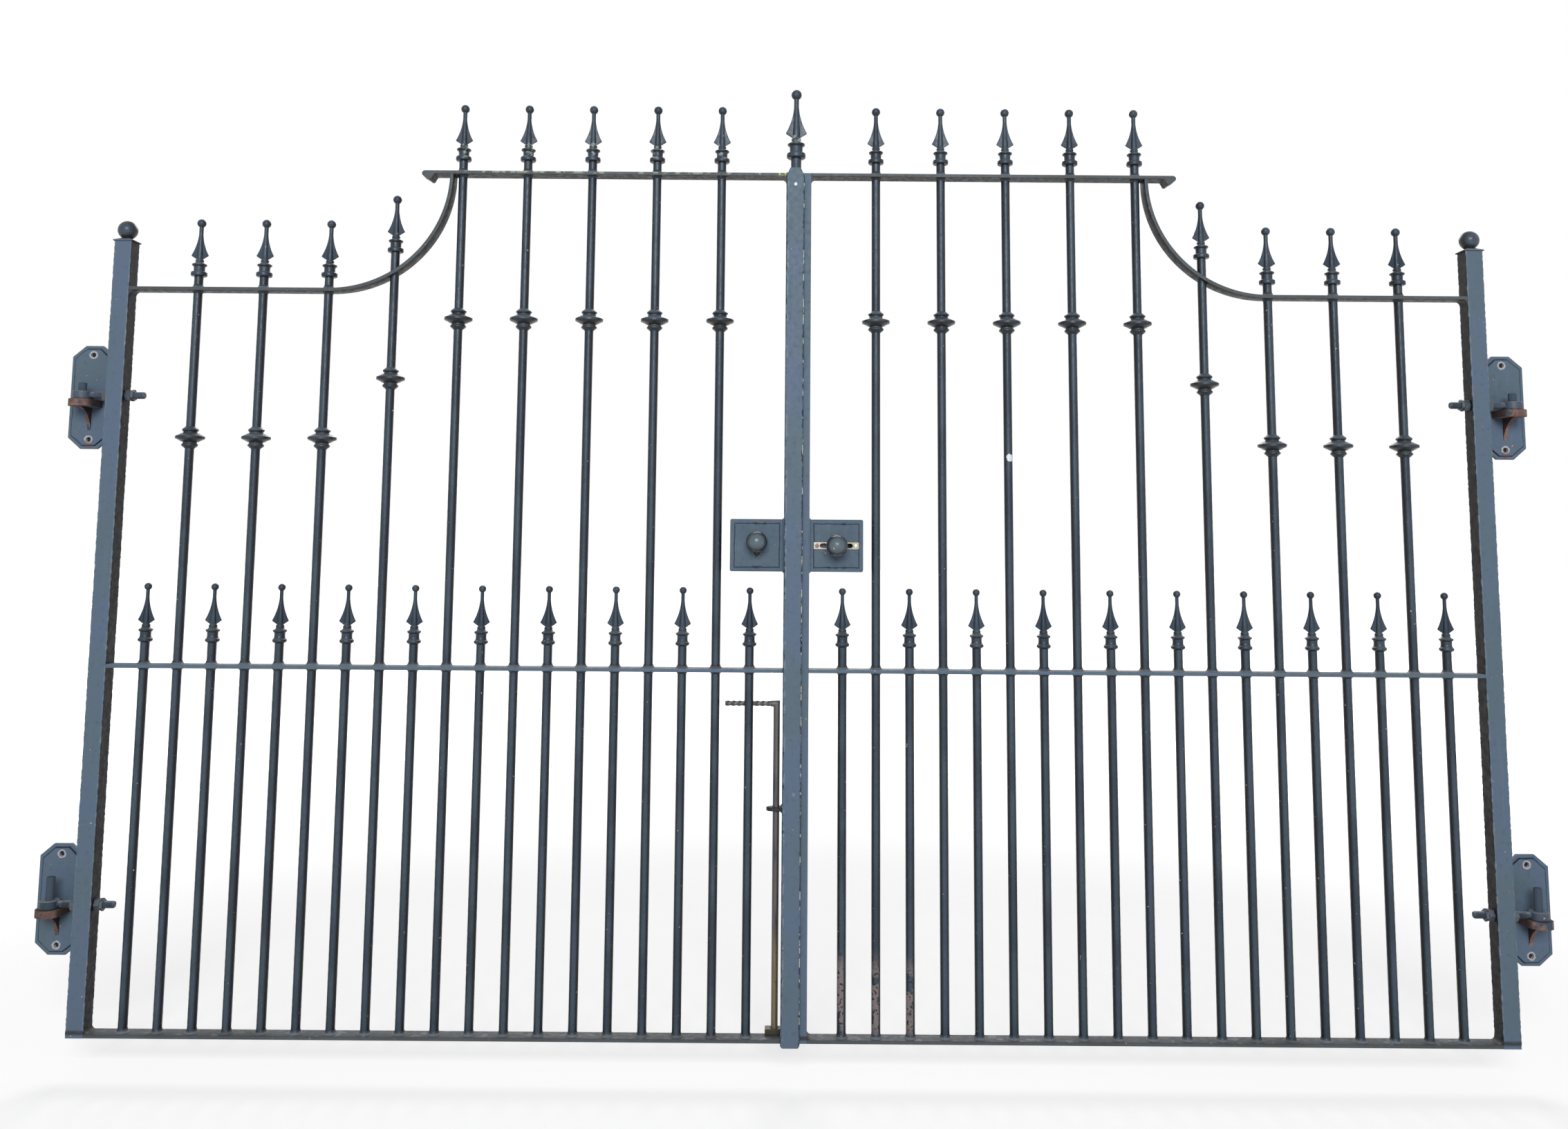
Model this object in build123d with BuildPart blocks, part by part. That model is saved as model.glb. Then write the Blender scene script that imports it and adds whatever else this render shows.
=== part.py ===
"""Two-leaf steel driveway gate with spear-headed bars, hung on four wall plates.

Millimetres. X runs along the closed gate, Y points to the side away from the
knobs, Z is up. The origin is on the back face of the lower left hinge plate,
at its centre, so the left pin axis stands on X = 0.
"""
import os
from collections import namedtuple
from math import sqrt

from build123d import *

# Leaf sizes. Heights are measured up from the underside of the bottom rail.
leaf_width = 1582.0
meeting_gap = 8.0
hanging_stile_size = 40.0
meeting_stile_width = 25.0
rail_width = 40.0
rail_thickness = 8.0
middle_rail_height = 794.0
low_rail_height = 1654.0
high_rail_height = 1934.0
stile_above_low_rail = 107.0
weld_radius = 10.0

# Bars: dog bars and tall bars take turns, starting and ending with a dog bar
bar_diameter = 20.0
low_bar_count = 3
high_bar_count = 5
tall_bar_count = low_bar_count + 1 + high_bar_count
bar_count = 2 * tall_bar_count + 1
bar_above_rail = 27.0
bar_above_sweep = 49.0
dog_bar_above_rail = 48.0

# Sweep between the low and the high rail
sweep_to_bar = 8.0
high_rail_overhang = 92.0
fishtail_length = 24.0
fishtail_belly = 14.0
fishtail_drop = 8.0
fishtail_nose = 5.0
fishtail_lip = 3.0

# Spear head, measured up from its seat on the bar
ring_height = 12.0
barrel_height = 12.0
collar_height = 8.0
spear_foot_gap = 4.0
spear_foot_diameter = 18.5
spear_foot_height = 4.0
spear_shoulder_height = 14.0
spear_taper_height = 68.0
spear_thickness = 4.0
rib_diameter = 14.5
finial_ball_sink = 1.5

# Girth of the heads on the tall bars
tall_ring_diameter = 36.0
tall_barrel_diameter = 25.0
tall_collar_diameter = 33.0
tall_spear_width = 40.0
tall_spear_waist = 14.6
tall_neck_diameter = 9.5
tall_ball_diameter = 20.0

# Girth of the slimmer heads on the dog bars
dog_ring_diameter = 31.5
dog_barrel_diameter = 24.0
dog_collar_diameter = 31.0
dog_spear_width = 37.5
dog_spear_waist = 13.0
dog_neck_diameter = 8.0
dog_ball_diameter = 16.5

# Centre spear: a tall head made larger, on a round post
centre_finial_scale = 1.22
centre_post_diameter = 24.0
centre_post_height = 35.0

# Knop on every tall bar
knop_disc_diameter = 64.0
knop_disc_height = 22.0
knop_ring_diameter = 36.0
knop_ring_height = 9.0
knop_ring_gap = 2.5
knop_sleeve_diameter = 30.0
knop_sleeve_end = 2.5
knop_lip = 1.5
knop_below_rail = 340.0

# Cap and ball on the hanging stile
cap_overhang = 2.5
cap_thickness = 3.0
cap_rise = 7.0
cap_crown_width = 14.0
cap_ball_diameter = 44.0
cap_ball_sink = 3.5

# Cover strip on the left leaf, over the meeting gap
strip_width = 42.0
strip_thickness = 6.0
strip_clearance = 5.0
strip_below_rail = 6.0
strip_above_rail = 10.0
strip_shoulder_width = 9.0
strip_shoulder_height = 20.0

# Lock boxes beside the meeting stiles
box_to_bar = 20.0
box_height = 118.0
box_depth = 36.0
box_above_spears = 36.0
box_corner_radius = 4.0
box_panel_margin = 10.0
box_panel_thickness = 2.0
knob_diameter = 48.0
knob_neck_diameter = 16.0
knob_neck_length = 14.0
knob_sink = 1.7
left_knob_tilt = 40.0
left_knob_drop = 16.0

# Sliding latch in the right box
latch_bar_height = 16.0
latch_bar_depth = 10.0
latch_clearance = 1.0
latch_reach = 8.0
latch_end_wall = 3.0
latch_travel = 30.0
latch_stem_diameter = 8.0
keep_clearance = 6.0
keep_floor = 4.0
guide_strip_height = 16.0
guide_strip_thickness = 2.0
guide_screw_landing = 14.0
guide_slot_height = 10.0
guide_screw_diameter = 10.0
guide_screw_height = 3.0
guide_screw_rounding = 1.5

# Drop bolt behind the left leaf
drop_rod_diameter = 15.0
drop_rod_chamfer = 2.0
drop_rod_below_rail = 72.0
drop_handle_diameter = 12.0
drop_handle_reach = 117.0
drop_bar_clearance = 5.0
drop_guide_clearance = 1.0
drop_guide_wall = 4.5
drop_lug_height = 489.0
drop_lug_thickness = 6.0
drop_block_thickness = 12.0

# Hinges
pin_to_stile = 62.0
pin_to_wall = 50.0
pin_diameter = 18.0
pin_chamfer = 1.5
pin_clearance = 0.1
lower_hinge_height = 277.0
upper_hinge_height = 1410.0
lower_pin_above_eye = 50.0
upper_pin_above_eye = 20.0
eye_diameter = 42.0
eye_thickness = 18.0
eye_clearance = 0.5
eye_bolt_diameter = 16.0
eye_bolt_past_nut = 30.0
nut_across_flats = 24.0
nut_thickness = 13.0

# Wall plates
plate_width = 100.0
plate_height = 242.0
plate_thickness = 8.0
plate_chamfer_x = 30.0
plate_chamfer_z = 26.0
plate_panel_margin = 8.0
plate_panel_thickness = 3.0
plate_hole_spacing = 198.0
plate_hole_diameter = 12.0
shelf_width = 56.0
shelf_thickness = 16.0
gusset_thickness = 8.0
gusset_height = 52.0
gusset_front = 14.0
gusset_waist_reach = 20.0
gusset_waist_drop = 17.0

# Values that follow from the sizes above
pin_spacing = 2 * (pin_to_stile + leaf_width) + meeting_gap
leaf_y = -pin_to_wall
rail_half = rail_width / 2
rail_front = leaf_y - rail_half
bar_radius = bar_diameter / 2
bar_spacing = (leaf_width - hanging_stile_size - meeting_stile_width) / (bar_count + 1)
stile_face = pin_to_stile + hanging_stile_size
meeting_face = pin_to_stile + leaf_width - meeting_stile_width
low_rail_top = low_rail_height + rail_thickness
high_rail_top = high_rail_height + rail_thickness
sweep_start_height = low_rail_height + rail_thickness / 2
sweep_radius = high_rail_height - sweep_start_height
first_high_bar = stile_face + bar_spacing * (2 * (low_bar_count + 1) + 2)
sweep_end = first_high_bar - bar_radius - sweep_to_bar - rail_thickness / 2
sweep_start = sweep_end - sweep_radius
sweep_bar = stile_face + bar_spacing * (2 * low_bar_count + 2)
sweep_bar_run = sweep_bar - sweep_start
sweep_bar_height = high_rail_height - sqrt(sweep_radius**2 - sweep_bar_run**2)
sweep_top_height = sweep_bar_height + bar_above_sweep
dog_bar_top = middle_rail_height + rail_thickness + dog_bar_above_rail
socket_height = ring_height + barrel_height + collar_height + spear_foot_gap
neck_height = socket_height + spear_shoulder_height + spear_taper_height
dog_finial_height = neck_height + dog_ball_diameter - finial_ball_sink
low_knop_height = low_rail_height - knop_below_rail
high_knop_height = high_rail_height - knop_below_rail
drop_hole_radius = drop_rod_diameter / 2 + drop_guide_clearance
drop_guide_radius = drop_hole_radius + drop_guide_wall
drop_rod_x = meeting_face - drop_guide_radius
drop_rod_y = leaf_y + bar_radius + drop_bar_clearance + drop_handle_diameter / 2
drop_rod_top_height = middle_rail_height - drop_rod_below_rail
box_width = 2 * bar_spacing - bar_radius - box_to_bar
box_centre_height = dog_bar_top + dog_finial_height + box_above_spears + box_height / 2
panel_width = box_width - 2 * box_panel_margin
guide_slot_length = panel_width - 2 * guide_screw_landing
latch_hole_height = latch_bar_height + 2 * latch_clearance
latch_hole_depth = latch_bar_depth + 2 * latch_clearance
box_front = leaf_y - box_depth / 2
panel_front = box_front - box_panel_thickness

os.makedirs("parts", exist_ok=True)

Leaf = namedtuple("Leaf", "name hand pin_x")
left = Leaf("left", 1, 0.0)
right = Leaf("right", -1, pin_spacing)

Head = namedtuple("Head", "ring barrel collar spear waist neck ball")
tall_head = Head(tall_ring_diameter, tall_barrel_diameter, tall_collar_diameter, tall_spear_width,
                 tall_spear_waist, tall_neck_diameter, tall_ball_diameter)
dog_head = Head(dog_ring_diameter, dog_barrel_diameter, dog_collar_diameter, dog_spear_width,
                dog_spear_waist, dog_neck_diameter, dog_ball_diameter)


def across(leaf, distance):
    """X of a place on a leaf, by its distance from the leaf's pin axis."""
    return leaf.pin_x + leaf.hand * distance


def level(height):
    """Z of a height above the underside of the bottom rail."""
    return height - lower_hinge_height


def write(part, name):
    part.label = name
    export_step(part, f"parts/{name}.step")


def bar_distance(number):
    """Distance of a bar's axis from the pin axis; bar 0 is next to the hanging stile."""
    return stile_face + bar_spacing * (number + 1)


def tall_bar_numbers():
    return [2 * index + 1 for index in range(tall_bar_count)]


def dog_bar_numbers():
    return [2 * index for index in range(tall_bar_count + 1)]


def tall_bar_top(number):
    """Height of a tall bar's end, where its spear head is seated."""
    index = (number - 1) // 2
    if index < low_bar_count:
        return low_rail_top + bar_above_rail
    if index == low_bar_count:
        return sweep_top_height
    return high_rail_top + bar_above_rail


def knop_level(number):
    index = (number - 1) // 2
    if index < low_bar_count:
        return low_knop_height
    if index == low_bar_count:
        return (low_knop_height + high_knop_height) / 2
    return high_knop_height


def elevation(leaf):
    """Sketch plane in the leaf's middle: local X runs from the pin, local Y up from the rail."""
    origin = (leaf.pin_x, leaf_y, level(0))
    return Plane(origin=origin, x_dir=(leaf.hand, 0, 0), z_dir=(0, -leaf.hand, 0))


def bar_holes(leaf, numbers, start, end):
    """Round bars to cut from a rail, from one height to another."""
    with BuildPart() as holes:
        with BuildSketch(Plane.XY.offset(level(start))):
            for number in numbers:
                with Locations((across(leaf, bar_distance(number)), leaf_y)):
                    Circle(bar_radius)
        extrude(amount=end - start)
    return holes.part


def weld_fillet():
    """Concave fillet of weld, in the corner above and to the right of the origin."""
    with BuildSketch() as web:
        with Locations((weld_radius / 2, weld_radius / 2)):
            Rectangle(weld_radius, weld_radius)
        with Locations((weld_radius, weld_radius)):
            Circle(weld_radius, mode=Mode.SUBTRACT)
    return web.sketch


def rail_stretch(start, end, height):
    with Locations(((start + end) / 2, height + rail_thickness / 2)):
        Rectangle(end - start, rail_thickness)


# Root: wall plates with their brackets
def hinge_plate(leaf, place, height):
    with BuildPart() as plate:
        centre = (leaf.pin_x, 0, level(height))
        face = Plane(origin=centre, x_dir=(1, 0, 0), z_dir=(0, -1, 0))
        layers = ((plate_width, plate_height, plate_thickness, 0.0),
                  (plate_width - 2 * plate_panel_margin, plate_height - 2 * plate_panel_margin,
                   plate_panel_thickness, plate_thickness))
        for width, tall, thick, start in layers:
            with BuildSketch(face.offset(start)):
                with BuildLine():
                    across_half = width / 2
                    up_half = tall / 2
                    Polyline((-across_half, -up_half + plate_chamfer_z),
                             (-across_half, up_half - plate_chamfer_z),
                             (-across_half + plate_chamfer_x, up_half),
                             (across_half - plate_chamfer_x, up_half),
                             (across_half, up_half - plate_chamfer_z),
                             (across_half, -up_half + plate_chamfer_z),
                             (across_half - plate_chamfer_x, -up_half),
                             (-across_half + plate_chamfer_x, -up_half),
                             close=True)
                make_face()
            extrude(amount=thick)
        with BuildSketch(face):
            with GridLocations(0, plate_hole_spacing, 1, 2):
                Circle(plate_hole_diameter / 2)
        extrude(amount=plate_thickness + plate_panel_thickness, mode=Mode.SUBTRACT)
    write(plate.part, f"{place}_{leaf.name}_hinge_plate")


def hinge_bracket(leaf, place, height, pin_above_eye):
    """Shelf with its gusset and the pin that stands on it."""
    wall_front = -plate_thickness - plate_panel_thickness
    eye_half = max(eye_thickness, eye_bolt_diameter) / 2
    shelf_top = level(height) - eye_half - eye_clearance
    shelf_under = shelf_top - shelf_thickness
    with BuildPart() as bracket:
        with BuildSketch(Plane.XY.offset(shelf_under)):
            with Locations((leaf.pin_x, (wall_front + leaf_y) / 2)):
                Rectangle(shelf_width, wall_front - leaf_y)
            with Locations((leaf.pin_x, leaf_y)):
                Circle(shelf_width / 2)
        extrude(amount=shelf_thickness)
        with BuildSketch(Plane.YZ.offset(leaf.pin_x)):
            with BuildLine():
                foot = (wall_front, shelf_under - gusset_height)
                waist = (wall_front - gusset_waist_reach, shelf_under - gusset_waist_drop)
                front = (leaf_y - gusset_front, shelf_under)
                Line((wall_front, shelf_under), foot)
                ThreePointArc(foot, waist, front)
                Line(front, (wall_front, shelf_under))
            make_face()
        extrude(amount=gusset_thickness / 2, both=True)
        with BuildSketch(Plane.XY.offset(shelf_top)):
            with Locations((leaf.pin_x, leaf_y)):
                Circle(pin_diameter / 2)
        extrude(amount=eye_clearance + 2 * eye_half + pin_above_eye)
        pin_rim = bracket.edges().filter_by(GeomType.CIRCLE).sort_by(Axis.Z)[-1]
        chamfer(pin_rim, pin_chamfer)
    write(bracket.part, f"{place}_{leaf.name}_hinge_bracket")


# Leaf: hanging stile, rails and meeting stile
def hanging_stile(leaf):
    with BuildPart() as stile:
        with BuildSketch(Plane.XY.offset(level(0))):
            with Locations((across(leaf, pin_to_stile + hanging_stile_size / 2), leaf_y)):
                Rectangle(hanging_stile_size, hanging_stile_size)
        extrude(amount=low_rail_top + stile_above_low_rail)
        with BuildSketch(Plane.YZ.offset(across(leaf, pin_to_stile))):
            with Locations((leaf_y, level(lower_hinge_height)), (leaf_y, level(upper_hinge_height))):
                Circle(eye_bolt_diameter / 2)
        extrude(amount=leaf.hand * hanging_stile_size, mode=Mode.SUBTRACT)
    write(stile.part, f"{leaf.name}_hanging_stile")


def stile_cap(leaf):
    """Low pyramid cap with a ball on its crown."""
    top = level(low_rail_top + stile_above_low_rail)
    axis_x = across(leaf, pin_to_stile + hanging_stile_size / 2)
    size = hanging_stile_size + 2 * cap_overhang
    ball_radius = cap_ball_diameter / 2
    with BuildPart() as cap:
        with BuildSketch(Plane.XY.offset(top)):
            with Locations((axis_x, leaf_y)):
                Rectangle(size, size)
        extrude(amount=cap_thickness)
        for height, side in ((0.0, size), (cap_rise, cap_crown_width)):
            with BuildSketch(Plane.XY.offset(top + cap_thickness + height)):
                with Locations((axis_x, leaf_y)):
                    Rectangle(side, side)
        loft()
        crown = top + cap_thickness + cap_rise
        with Locations((axis_x, leaf_y, crown + ball_radius - cap_ball_sink)):
            Sphere(ball_radius)
    write(cap.part, f"{leaf.name}_stile_cap")


def bottom_rail(leaf):
    with BuildPart() as rail:
        with BuildSketch(elevation(leaf)):
            rail_stretch(stile_face, meeting_face, 0)
            with Locations((stile_face, rail_thickness)):
                add(weld_fillet())
            if leaf is right:
                with Locations(Location((meeting_face, rail_thickness, 0), (0, 0, 90))):
                    add(weld_fillet())
        extrude(amount=rail_half, both=True)
        add(bar_holes(leaf, range(bar_count), 0, rail_thickness), mode=Mode.SUBTRACT)
        if leaf is left:
            with BuildSketch(Plane.XY.offset(level(0))):
                with Locations((drop_rod_x, drop_rod_y)):
                    Circle(drop_hole_radius)
            extrude(amount=rail_thickness, mode=Mode.SUBTRACT)
    write(rail.part, f"{leaf.name}_bottom_rail")


def middle_rail(leaf):
    with BuildPart() as rail:
        with BuildSketch(elevation(leaf)):
            rail_stretch(stile_face, meeting_face, middle_rail_height)
        extrude(amount=rail_half, both=True)
        rail_top = middle_rail_height + rail_thickness
        add(bar_holes(leaf, range(bar_count), middle_rail_height, rail_top), mode=Mode.SUBTRACT)
    write(rail.part, f"{leaf.name}_middle_rail")


def swept_rail(leaf):
    """Low top rail that turns up in a quarter circle to meet the high rail."""
    half = rail_thickness / 2
    outer = sweep_radius + half
    inner = sweep_radius - half
    low_numbers = tall_bar_numbers()[:low_bar_count + 1]
    with BuildPart() as rail:
        with BuildSketch(elevation(leaf)):
            rail_stretch(stile_face, sweep_start, low_rail_height)
            with Locations(Location((stile_face, low_rail_height, 0), (0, 0, 270))):
                add(weld_fillet())
            with BuildSketch(mode=Mode.PRIVATE) as quarter:
                with Locations((sweep_start, high_rail_height)):
                    Circle(outer)
                    Circle(inner, mode=Mode.SUBTRACT)
                with Locations((sweep_start + outer / 2, high_rail_height - outer / 2)):
                    Rectangle(outer, outer, mode=Mode.INTERSECT)
            add(quarter.sketch)
        extrude(amount=rail_half, both=True)
        holes_start = low_rail_height - rail_thickness
        add(bar_holes(leaf, low_numbers, holes_start, sweep_top_height), mode=Mode.SUBTRACT)
    write(rail.part, f"{leaf.name}_swept_rail")


def high_rail(leaf):
    tip = first_high_bar - high_rail_overhang
    with BuildPart() as rail:
        with BuildSketch(elevation(leaf)):
            rail_stretch(tip, meeting_face, high_rail_height)
            with Locations(Location((meeting_face, high_rail_height, 0), (0, 0, 180))):
                add(weld_fillet())
            with BuildLine():
                root = (tip + fishtail_length, high_rail_height)
                belly = (tip + fishtail_belly, high_rail_height - fishtail_drop)
                nose = (tip + fishtail_nose, high_rail_height - fishtail_lip)
                Polyline(nose, (tip, high_rail_top), (tip + fishtail_length, high_rail_top), root)
                ThreePointArc(root, belly, nose)
            make_face()
        extrude(amount=rail_half, both=True)
        high_numbers = tall_bar_numbers()[low_bar_count + 1:]
        add(bar_holes(leaf, high_numbers, high_rail_height, high_rail_top), mode=Mode.SUBTRACT)
    write(rail.part, f"{leaf.name}_high_rail")


def meeting_stile(leaf):
    extra = strip_clearance if leaf is left else 0.0
    front = rail_front - extra
    back = leaf_y + rail_half
    with BuildPart() as stile:
        with BuildSketch(Plane.XY.offset(level(0))):
            with Locations((across(leaf, meeting_face + meeting_stile_width / 2), (front + back) / 2)):
                Rectangle(meeting_stile_width, back - front)
        extrude(amount=high_rail_top)
        closing_face = across(leaf, meeting_face + meeting_stile_width)
        with BuildSketch(Plane.YZ.offset(closing_face)):
            with Locations((leaf_y, level(box_centre_height))):
                if leaf is left:
                    Rectangle(latch_bar_depth + 2 * keep_clearance, latch_bar_height + 2 * keep_clearance)
                else:
                    Rectangle(latch_hole_depth, latch_hole_height)
        depth = meeting_stile_width - keep_floor if leaf is left else meeting_stile_width
        extrude(amount=-leaf.hand * depth, mode=Mode.SUBTRACT)
    write(stile.part, f"{leaf.name}_meeting_stile")


# Leaf: bars, knops and spear heads
def round_bars(leaf, numbers, top_of, name):
    with BuildPart() as bars:
        for number in numbers:
            with BuildSketch(Plane.XY.offset(level(0))):
                with Locations((across(leaf, bar_distance(number)), leaf_y)):
                    Circle(bar_radius)
            extrude(amount=top_of(number))
    write(bars.part, f"{leaf.name}_{name}")


def knop_shape():
    """Sleeve with a bevelled disc between two bevelled rings, bored for the bar."""
    disc_half = knop_disc_height / 2
    disc_edge = disc_half / 4
    sleeve = knop_sleeve_diameter / 2
    ring = knop_ring_diameter / 2
    ring_start = disc_half + knop_ring_gap
    ring_middle = ring_start + knop_ring_height / 2
    end = ring_start + knop_ring_height + knop_sleeve_end
    with BuildPart(mode=Mode.PRIVATE) as knop:
        with BuildSketch(Plane.XZ):
            with BuildLine():
                upper = [(bar_radius + knop_lip, end), (ring, ring_middle), (sleeve, ring_start),
                         (sleeve, disc_half), (knop_disc_diameter / 2, disc_edge)]
                lower = [(x, -z) for x, z in reversed(upper)]
                Polyline((bar_radius, end), *upper, *lower, (bar_radius, -end), close=True)
            make_face()
        revolve(axis=Axis.Z)
    return knop.part


def knops(leaf):
    shape = knop_shape()
    with BuildPart() as group:
        for number in tall_bar_numbers():
            with Locations((across(leaf, bar_distance(number)), leaf_y, level(knop_level(number)))):
                add(shape)
    write(group.part, f"{leaf.name}_knops")


def finial_shape(head, factor, seat_diameter):
    """Spear head: ringed socket and ribbed neck turned in one, with flat wings across the leaf."""
    def half(diameter):
        return factor * diameter / 2

    ring_top = factor * ring_height
    barrel_top = ring_top + factor * barrel_height
    collar_top = barrel_top + factor * collar_height
    collar_bevel = factor * collar_height / 3
    foot = factor * socket_height
    foot_top = foot + factor * spear_foot_height
    shoulder = foot + factor * spear_shoulder_height
    neck_top = factor * neck_height
    wing_top = neck_top - factor * finial_ball_sink
    with BuildPart(mode=Mode.PRIVATE) as finial:
        with BuildSketch(Plane.XZ):
            with BuildLine():
                Polyline((0, 0), (seat_diameter / 2, 0))
                ThreePointArc((seat_diameter / 2, 0), (half(head.ring), ring_top / 2),
                              (half(head.barrel), ring_top))
                Polyline((half(head.barrel), ring_top), (half(head.barrel), barrel_top),
                         (half(head.collar), barrel_top + collar_bevel),
                         (half(head.collar), collar_top - collar_bevel),
                         (half(spear_foot_diameter), foot), (half(spear_foot_diameter), foot_top),
                         (half(rib_diameter), shoulder), (half(head.neck), neck_top), (0, neck_top), (0, 0))
            make_face()
        revolve(axis=Axis.Z)
        with BuildSketch(Plane.XZ):
            with BuildLine():
                Polyline((0, wing_top), (0, foot_top), (half(rib_diameter), foot_top),
                         (half(head.spear), shoulder))
                ThreePointArc((half(head.spear), shoulder), (half(head.waist), (shoulder + neck_top) / 2),
                              (half(head.neck) / 2, wing_top))
                Line((half(head.neck) / 2, wing_top), (0, wing_top))
                mirror(about=Plane.YZ)
            make_face()
        extrude(amount=half(spear_thickness), both=True)
        with Locations((0, 0, neck_top + half(head.ball) - factor * finial_ball_sink)):
            Sphere(half(head.ball))
    return finial.part


def finials(leaf, head, numbers, top_of, name):
    shape = finial_shape(head, 1.0, bar_diameter)
    with BuildPart() as group:
        for number in numbers:
            with Locations((across(leaf, bar_distance(number)), leaf_y, level(top_of(number)))):
                add(shape)
    write(group.part, f"{leaf.name}_{name}")


# Leaf: cover strip and centre spear on the left leaf
def cover_strip():
    front = rail_front - strip_clearance
    strip_top = high_rail_top + strip_above_rail
    with BuildPart() as strip:
        with BuildSketch(Plane(origin=(0, front, level(0)), x_dir=(1, 0, 0), z_dir=(0, -1, 0))):
            with BuildLine():
                right_edge = meeting_face + strip_width
                shoulder = strip_top - strip_shoulder_height
                Polyline((meeting_face, -strip_below_rail), (meeting_face, shoulder),
                         (meeting_face + strip_shoulder_width, strip_top),
                         (right_edge - strip_shoulder_width, strip_top), (right_edge, shoulder),
                         (right_edge, -strip_below_rail), close=True)
            make_face()
        extrude(amount=strip_thickness)
    write(strip.part, "cover_strip")


def centre_finial():
    """Larger spear head on a short round post, standing on the left meeting stile."""
    post_y = rail_front - strip_clearance + centre_post_diameter / 2
    post_x = meeting_face + strip_width / 2
    shape = finial_shape(tall_head, centre_finial_scale, centre_post_diameter)
    with BuildPart() as finial:
        with BuildSketch(Plane.XY.offset(level(high_rail_top))):
            with Locations((post_x, post_y)):
                Circle(centre_post_diameter / 2)
        extrude(amount=centre_post_height)
        with Locations((post_x, post_y, level(high_rail_top + centre_post_height))):
            add(shape)
    write(finial.part, "centre_finial")


# Lock boxes
def box_middle(leaf):
    return across(leaf, meeting_face - box_width / 2)


def lock_box(leaf):
    """Flat steel box with a raised front panel; the right one is cut out for the latch."""
    centre = (box_middle(leaf), leaf_y + box_depth / 2, level(box_centre_height))
    face = Plane(origin=centre, x_dir=(1, 0, 0), z_dir=(0, -1, 0))
    with BuildPart() as box:
        with BuildSketch(face):
            Rectangle(box_width, box_height)
        extrude(amount=box_depth)
        outer_edges = box.edges().filter_by(Axis.Y)
        far_side = outer_edges.sort_by(Axis.X)[:2] if leaf is left else outer_edges.sort_by(Axis.X)[2:]
        fillet(far_side, box_corner_radius)
        with BuildSketch(face.offset(box_depth)):
            Rectangle(panel_width, box_height - 2 * box_panel_margin)
        extrude(amount=box_panel_thickness)
        if leaf is right:
            channel_length = box_width - latch_end_wall
            channel_middle = across(right, meeting_face - channel_length / 2)
            with Locations((channel_middle, leaf_y, level(box_centre_height))):
                Box(channel_length, latch_hole_depth, latch_hole_height, mode=Mode.SUBTRACT)
            slot_depth = -latch_hole_depth / 2 + leaf_y - panel_front
            with BuildSketch(face.offset(box_depth + box_panel_thickness)):
                SlotOverall(guide_slot_length, guide_slot_height)
            extrude(amount=-slot_depth, mode=Mode.SUBTRACT)
    write(box.part, f"{leaf.name}_lock_box")


def knob_shape(stem_diameter, stem_length):
    """Ball knob with its neck and stem, along -Y, with the neck's foot at the origin."""
    ball_radius = knob_diameter / 2
    ball_centre = knob_neck_length + ball_radius - knob_sink
    with BuildPart(mode=Mode.PRIVATE) as knob:
        with BuildSketch(Plane.XZ):
            Circle(knob_neck_diameter / 2)
        extrude(amount=knob_neck_length + ball_radius / 2)
        with BuildSketch(Plane.XZ):
            Circle(stem_diameter / 2)
        extrude(amount=-stem_length)
        with Locations((0, -ball_centre, 0)):
            Sphere(ball_radius)
    return knob.part


def left_knob():
    """Knob bent upwards on its neck, which is trimmed to sit flat on the panel."""
    foot = (box_middle(left), panel_front, level(box_centre_height - left_knob_drop))
    with BuildPart() as knob:
        with Locations(Location(foot, (-left_knob_tilt, 0, 0))):
            add(knob_shape(knob_neck_diameter, knob_neck_diameter))
        split(bisect_by=Plane(origin=foot, x_dir=(1, 0, 0), z_dir=(0, -1, 0)), keep=Keep.TOP)
    write(knob.part, "left_knob")


# Sliding latch
def latch_tail():
    """X of the hidden end of the latch bar."""
    return across(right, meeting_face - box_width + latch_end_wall + latch_travel)


def latch_bar():
    tip = across(right, meeting_face + meeting_stile_width + meeting_gap + latch_reach)
    with BuildPart() as bar:
        with Locations(((tip + latch_tail()) / 2, leaf_y, level(box_centre_height))):
            Box(latch_tail() - tip, latch_bar_depth, latch_bar_height)
    write(bar.part, "latch_bar")


def latch_knob():
    seat = panel_front - guide_strip_thickness - latch_clearance
    stem_length = (leaf_y - latch_bar_depth / 2) - seat
    with BuildPart() as knob:
        with Locations((box_middle(right), seat, level(box_centre_height))):
            add(knob_shape(latch_stem_diameter, stem_length))
    write(knob.part, "latch_knob")


def latch_guide_strip():
    """Slotted strip that the knob's stem runs in, held by a screw at each end."""
    centre = (box_middle(right), panel_front, level(box_centre_height))
    face = Plane(origin=centre, x_dir=(1, 0, 0), z_dir=(0, -1, 0))
    with BuildPart() as strip:
        with BuildSketch(face):
            Rectangle(panel_width, guide_strip_height)
            SlotOverall(guide_slot_length, guide_slot_height, mode=Mode.SUBTRACT)
        extrude(amount=guide_strip_thickness)
    write(strip.part, "latch_guide_strip")


def latch_screws():
    spread = (panel_width - guide_screw_landing) / 2
    centre = (box_middle(right), panel_front - guide_strip_thickness, level(box_centre_height))
    face = Plane(origin=centre, x_dir=(1, 0, 0), z_dir=(0, -1, 0))
    with BuildPart() as screws:
        with BuildSketch(face):
            with Locations((-spread, 0), (spread, 0)):
                Circle(guide_screw_diameter / 2)
        extrude(amount=guide_screw_height)
        fillet(screws.edges().group_by(Axis.Y)[0], guide_screw_rounding)
    write(screws.part, "latch_screws")


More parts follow.
